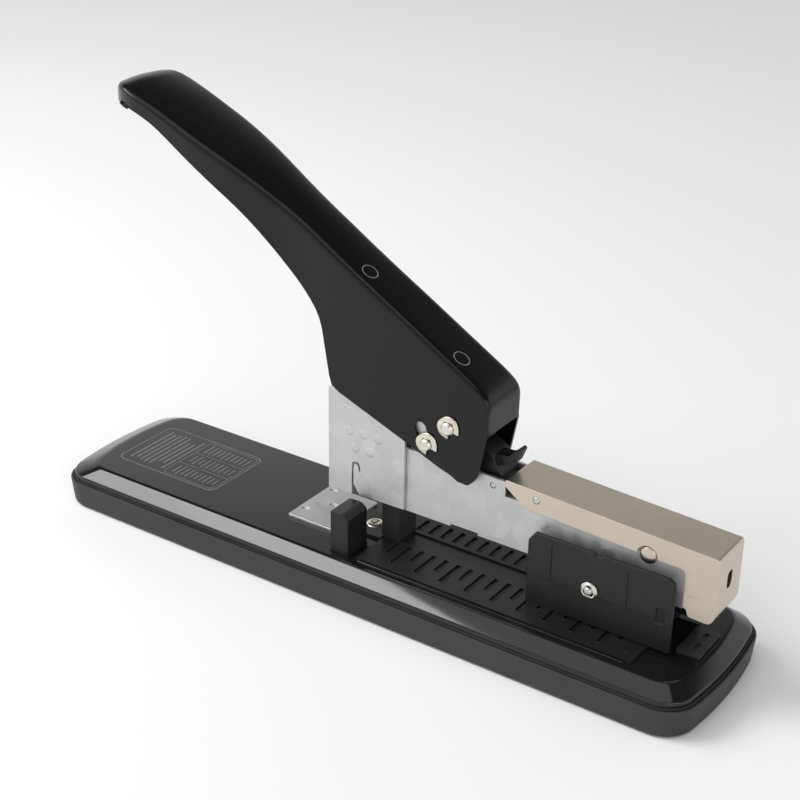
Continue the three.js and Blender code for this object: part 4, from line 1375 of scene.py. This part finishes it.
    def hardware(self) -> None:
        """The axle, the limit pins, their clips, the return springs and the cam."""
        reach = 13.2
        x, z = self.axle
        a = math.radians(self.pin_angle)
        pin = (x + self.pin_reach * math.cos(a), z + self.pin_reach * math.sin(a))
        half = [(2.5, 11.1), (1.9, 11.1), (1.9, 12.2), (2.5, 12.2), (2.5, reach - 0.5)]
        half += [(1.9, reach), (0.0, reach)]
        ends = [(r, -along) for r, along in reversed(half)] + half
        made = turned("handle_axle_fine", ends, (x, 0, DECK + z), Vector((0, 1, 0)), 44)
        soften(made, 30.0)
        settled(dressed(made, BRIGHT), "base", "handle_axle")
        for side in Side:
            stub = [(0.0, 7.3), (2.3, 7.3), (2.3, 11.1), (1.9, 11.1), (1.9, 12.2), (2.3, 12.2)]
            stub += [(2.3, reach - 0.5), (1.8, reach), (0.0, reach)]
            along = Vector((0, side.value, 0))
            name = f"limit_pin_{side.word}"
            made = turned(f"{name}_fine", stub, (pin[0], 0, DECK + pin[1]), along, 44)
            soften(made, 30.0)
            settled(dressed(made, BRIGHT), "base", name)
            for kind, place in (("axle", self.axle), ("limit", pin)):
                node = f"{kind}_clip_{side.word}"
                settled(dressed(self.clip(node, place, side), BRIGHT), "base", node)
            node = f"handle_spring_{side.word}"
            low, high = box_of(node)
            coil = Coil(f"{node}_fine", 3.4, 1.2, high.y - low.y - 1.2, 2.75)
            middle = Vector((x, high.y - 0.6, DECK + z)) * MM
            turn = Matrix.Rotation(math.pi / 2, 4, "X")
            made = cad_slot(coil.build(STEEL, Matrix.Translation(middle) @ turn))
            settled(made, "base", node)
        settled(refined("press_cam", 0.25, STEEL), "handle", "press_cam")

    def clip(self, node: str, place: Point, side: Side) -> bpy.types.Object:
        """An open retaining clip: a dished ring with a mouth and three bays inside.

        Args:
            node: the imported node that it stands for.
            place: its middle, in X and height above the deck.
            side: the wall that it lies on.

        Returns:
            The clip.
        """
        mouth, outer = -55.0, 4.8
        steps = 84
        bays, bay_width, bay_depth = (110, 180, 250), 17, 0.75
        thick, face, wave = 0.9, 11.2, 0.22
        rings = []
        for k in range(steps + 1):
            a = 34 + 292 * k / steps
            bay = bay_depth * sum(math.exp(-(((a - c) / bay_width) ** 2)) for c in bays)
            inner = 1.98 + bay
            rim = outer - wave + wave * math.cos(math.radians(3 * a))
            turn = math.radians(mouth + a)
            section = [(inner, 0.0), (rim, 0.0), (rim, thick * 0.55), (rim - 0.3, thick * 0.85)]
            section += [(inner + 0.5, thick), (inner, thick * 0.85)]
            rings.append([
                (place[0] + r * math.cos(turn), side.value * (face + h),
                 DECK + place[1] + r * math.sin(turn))
                for r, h in section
            ])
        made = lofted(f"{node}_fine", rings)
        soften(made, 42.0)
        return made

    def build(self) -> None:
        """Builds the handle and its hardware."""
        self.shell()
        self.marks()
        self.hardware()


def spread(line: Sequence[Point], marks: Sequence[Point], counts: Sequence[int]) -> list[Point]:
    """Shares points out along a line between marks on it.

    Args:
        line: the line.
        marks: points near the line, in order, from its start to its end.
        counts: how many steps there are between one mark and the next.

    Returns:
        The points.
    """
    places = [Vector(p) for p in line]
    lengths = [0.0]
    for a, b in zip(places, places[1:]):
        lengths.append(lengths[-1] + (b - a).length)
    stops = [0.0]
    near = 0
    for mark in map(Vector, marks[1:-1]):
        near = min(range(near, len(places) - 1), key=lambda k: (places[k] - mark).length)
        step = places[near + 1] - places[near]
        share = (mark - places[near]).dot(step) / max(step.length_squared, 1e-9)
        stops.append(lengths[near] + max(0.0, min(1.0, share)) * step.length)
    stops.append(lengths[-1])
    result: list[Point] = []
    for (start, end), count in zip(zip(stops, stops[1:]), counts):
        for k in range(count):
            result.append(point_at(places, lengths, start + (end - start) * k / count))
    result.append(tuple(places[-1]))
    return result


def point_at(places: Sequence[Vector], lengths: Sequence[float], spot: float) -> Point:
    """Finds the point at a length along a line.

    Args:
        places: the line's points.
        lengths: how far along the line each of them is.
        spot: the length that is asked for.

    Returns:
        The point.
    """
    for k in range(len(places) - 1):
        if spot <= lengths[k + 1] or k == len(places) - 2:
            step = lengths[k + 1] - lengths[k]
            t = 0.0 if step < 1e-9 else (spot - lengths[k]) / step
            return tuple(places[k].lerp(places[k + 1], min(max(t, 0.0), 1.0)))
    return tuple(places[-1])


# ------------------------------------------------------------------------------ arm and head
@dataclass
class Arm:
    """The staple channel, the magazine inside it, the driver and the nickel head cover."""

    spring_radius: float = 2.4
    spring_wire: float = 0.8
    spring_turns: float = 12.0
    stroke: float = 58.0

    def build(self) -> None:
        """Builds the arm and all that it carries."""
        settled(refined("arm_channel", 0.16, ZINC), "arm", "arm_channel")
        settled(refined("magazine_rail", 0.15, STEEL), "arm", "magazine_rail")
        settled(refined("blade_guide", 0.2, STEEL), "arm", "blade_guide")
        settled(refined("pusher", 0.2, ZINC), "pusher", "pusher")
        settled(refined("pusher_rod", 0.1, STEEL), "arm", "pusher_rod")
        settled(refined("release_pin", 0.1, STEEL), "arm", "release_pin")
        settled(refined("driver_lever", 0.2, STEEL), "driver", "driver_lever")
        settled(refined("driver_blade", 0.1, STEEL), "driver", "driver_blade")
        settled(refined("release_lever", 0.5, BLACK), "release", "release_lever")
        self.spring()
        self.head()

    def spring(self) -> None:
        """The magazine's spring, which the pusher squeezes towards the rear."""
        low, high = box_of("pusher_spring")
        length = high.x - low.x - self.spring_wire
        size = (self.spring_radius, self.spring_wire, length, self.spring_turns)
        coil = Coil("pusher_spring_fine", *size)
        middle = Vector((low.x + self.spring_wire / 2, 0, (low.z + high.z) / 2)) * MM
        turn = Matrix.Rotation(math.pi / 2, 4, "Y")
        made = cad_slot(coil.build(STEEL, Matrix.Translation(middle) @ turn))
        settled(made, "arm", "pusher_spring")
        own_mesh(made)

    def head(self) -> None:
        """The head cover, its pins and the domed rivets that its edge snaps round."""
        settled(refined("head_cover", 0.5, NICKEL), "cover", "head_cover")
        for side in Side:
            settled(refined(f"cover_pin_{side.word}", 0.1, STEEL), "arm", f"cover_pin_{side.word}")
            node = f"cover_rivet_{side.word}"
            low, high = box_of(node)
            radius = (high.x - low.x) / 2
            dome = [(1, 0), (1, 0.35), (0.97, 0.6), (0.8, 1.0), (0.55, 1.35), (0.28, 1.52)]
            profile = [(0, 0), *((radius * share, rise) for share, rise in dome), (0, 1.56)]
            base = low.y if side is Side.FAR else high.y
            at = ((low.x + high.x) / 2, base, (low.z + high.z) / 2)
            made = turned(f"{node}_fine", profile, at, Vector((0, side.value, 0)), 44)
            soften(made, 40.0)
            settled(dressed(made, NICKEL), "arm", node)


# ------------------------------------------------------------------------------ paper guide
@dataclass
class PaperGuide:
    """The sliding guide: a moulded slider and two plates held by pins and clips."""

    ridge: float = 0.35

    def build(self) -> None:
        """Builds the slider, the plates, their pins and clips."""
        settled(refined("guide_slider", 0.35, BLACK), "guide", "guide_slider")
        for side in Side:
            word = side.word
            settled(refined(f"guide_plate_{word}", 0.3, BLACK), "guide", f"guide_plate_{word}")
            settled(self.pin(f"guide_pin_{word}", side), "guide", f"guide_pin_{word}")
            settled(self.washer(f"guide_clip_{word}", side), "guide", f"guide_clip_{word}")
            self.ridges(side)

    def pin(self, node: str, side: Side) -> bpy.types.Object:
        """A turned pin with a rounded end."""
        low, high = box_of(node)
        radius, reach = (high.x - low.x) / 2, high.y - low.y
        profile = [(0, 0), (radius, 0), (radius, reach - 0.5), (radius * 0.85, reach - 0.2)]
        profile += [(radius * 0.5, reach), (0, reach)]
        base = low.y if side is Side.FAR else high.y
        at = ((low.x + high.x) / 2, base, (low.z + high.z) / 2)
        made = turned(f"{node}_fine", profile, at, Vector((0, side.value, 0)), 32)
        soften(made, 35.0)
        return dressed(made, STEEL)

    def washer(self, node: str, side: Side) -> bpy.types.Object:
        """The toothed push-on clip over the pin's end."""
        low, high = box_of(node)
        middle = ((low.x + high.x) / 2, (low.z + high.z) / 2)
        base = low.y if side is Side.FAR else high.y
        outer, inner, steps = (high.x - low.x) / 2, 1.66, 48
        rings = []
        for k in range(steps):
            a = 2 * math.pi * k / steps
            bore = inner + (0.5 if (k // 8) % 2 else 0.0)
            section = [(bore, 0.0), (outer, 0.0), (outer, 0.45), (outer - 0.5, 0.8)]
            section += [(bore + 0.5, 1.0), (bore, 0.9)]
            rings.append([
                (middle[0] + r * math.cos(a), base + side.value * h, middle[1] + r * math.sin(a))
                for r, h in section
            ])
        made = lofted(f"{node}_fine", rings, loop=True)
        soften(made, 40.0)
        return dressed(made, BRIGHT)

    def ridges(self, side: Side) -> None:
        """The raised bands moulded on a plate's outer face."""
        low, high = box_of(f"guide_plate_{side.word}")
        face = high.y if side is Side.FAR else low.y
        y0, y1 = sorted((face - side.value * 0.1, face + side.value * self.ridge))
        rear, front, base = low.x, high.x, low.z - DECK
        spans = [
            (rear + 1.0, front - 8.5, 11.4, 12.0),
            (rear + 9.0, rear + 9.7, 12.6, 26.0),
            (front - 18.0, front - 17.3, 12.6, 26.0),
        ]
        for i, (x0, x1, z0, z1) in enumerate(spans):
            z0, z1 = base + z0, base + z1
            band = [(x0, z0), (x1, z0), (x1, z1), (x0, z1)]
            made = prism(f"guide_band_{side.word}_{i + 1}", band, y0, y1)
            rounded_edges(made, 0.15, 2)
            settled(dressed(baked(made), BLACK), "guide")


# ------------------------------------------------------------------------------ studio
@dataclass
class Studio:
    """The floor, the soft lights and the camera."""

    eye: tuple[float, float, float] = (0.30599, -0.44402, 0.33761)
    right: tuple[float, float, float] = (0.8237, 0.5670, 0.01475)
    up: tuple[float, float, float] = (-0.2596, 0.3538, 0.8988)
    lens: float = 72.13
    sensor: float = 36.0
    floor_size: float = 40.0

    def floor(self) -> None:
        """A wide pale floor just under the feet."""
        half = self.floor_size / 2 / MM
        points = [(-half, -half, 0), (half, -half, 0), (half, half, 0), (-half, half, 0)]
        made = object_of("floor", [(x, y, -0.05) for x, y, _ in points], [[0, 1, 2, 3]])
        made.data.materials.append(FLOOR.material())

    def lamp(
        self,
        name: str,
        at: Sequence[float],
        size: float,
        power: float,
        tall: float | None = None,
    ) -> None:
        """Adds a soft area light that faces the object.

        Args:
            name: the light's name.
            at: where it stands, in metres.
            size: its width in metres.
            power: its power in watts.
            tall: its height, if it isn't square.
        """
        light = bpy.data.lights.new(name, "AREA")
        light.shape = "RECTANGLE"
        light.size = size
        light.size_y = tall or size
        light.energy = power
        made = bpy.data.objects.new(name, light)
        made.location = at
        aim = Vector((0.0, 0.0, 0.07)) - Vector(at)
        made.rotation_euler = aim.to_track_quat("-Z", "Y").to_euler()
        bpy.context.scene.collection.objects.link(made)

    def lights(self) -> None:
        """Overhead, left and right softboxes, and an even pale surround."""
        self.lamp("softbox", (-0.75, -0.43, 0.84), 0.58, 9.0)
        self.lamp("front_fill", (1.1, -0.7, 0.5), 0.9, 3.2, 0.8)
        sky = bpy.data.lights.new("sky_panel", "SUN")
        sky.energy = 1.0
        sky.angle = math.radians(60)
        made = bpy.data.objects.new("sky_panel", sky)
        made.rotation_euler = Vector((0.12, 0.3, -1.0)).to_track_quat("-Z", "Y").to_euler()
        bpy.context.scene.collection.objects.link(made)
        world = bpy.data.worlds.new("surround")
        world.use_nodes = True
        world.node_tree.nodes.clear()
        tree = Tree(world.node_tree)
        ray = tree.node("ShaderNodeTexCoord", {}, {}, "Generated")
        rise = tree.node("ShaderNodeSeparateXYZ", {}, {0: ray}, 2)
        stops = [(0.0, 0.95), (0.25, 0.98), (0.46, 0.92), (0.57, 0.2), (0.65, 0.08), (1.0, 0.1)]
        ground = tree.node("ShaderNodeBackground", {}, {"Color": tree.ramp(rise, stops)})
        tree.node("ShaderNodeOutputWorld", {}, {"Surface": ground})
        bpy.context.scene.world = world

    def camera(self) -> None:
        """The camera, from the front right and above."""
        data = bpy.data.cameras.new("camera")
        data.lens = self.lens
        data.sensor_width = self.sensor
        data.clip_end = 50.0
        made = bpy.data.objects.new("camera", data)
        right, up = Vector(self.right).normalized(), Vector(self.up).normalized()
        back = right.cross(up).normalized()
        up = back.cross(right)
        turn = Matrix((right, up, back)).transposed().to_4x4()
        made.matrix_world = Matrix.Translation(self.eye) @ turn
        bpy.context.scene.collection.objects.link(made)
        bpy.context.scene.camera = made

    def build(self) -> None:
        """Sets the studio up."""
        self.camera()
        self.floor()
        self.lights()


def main() -> None:
    """Builds the studio and every sub-assembly in order."""
    logging.basicConfig(level=logging.INFO, format="%(name)s: %(message)s")
    bpy.context.scene.view_settings.view_transform = "Standard"
    steps: list[Callable[[], None]] = [
        Studio().build,
        Base().build,
        Stand().build,
        Handle().build,
        Arm().build,
        PaperGuide().build,
    ]
    for step in steps:
        step()


if __name__ == "__main__":
    main()
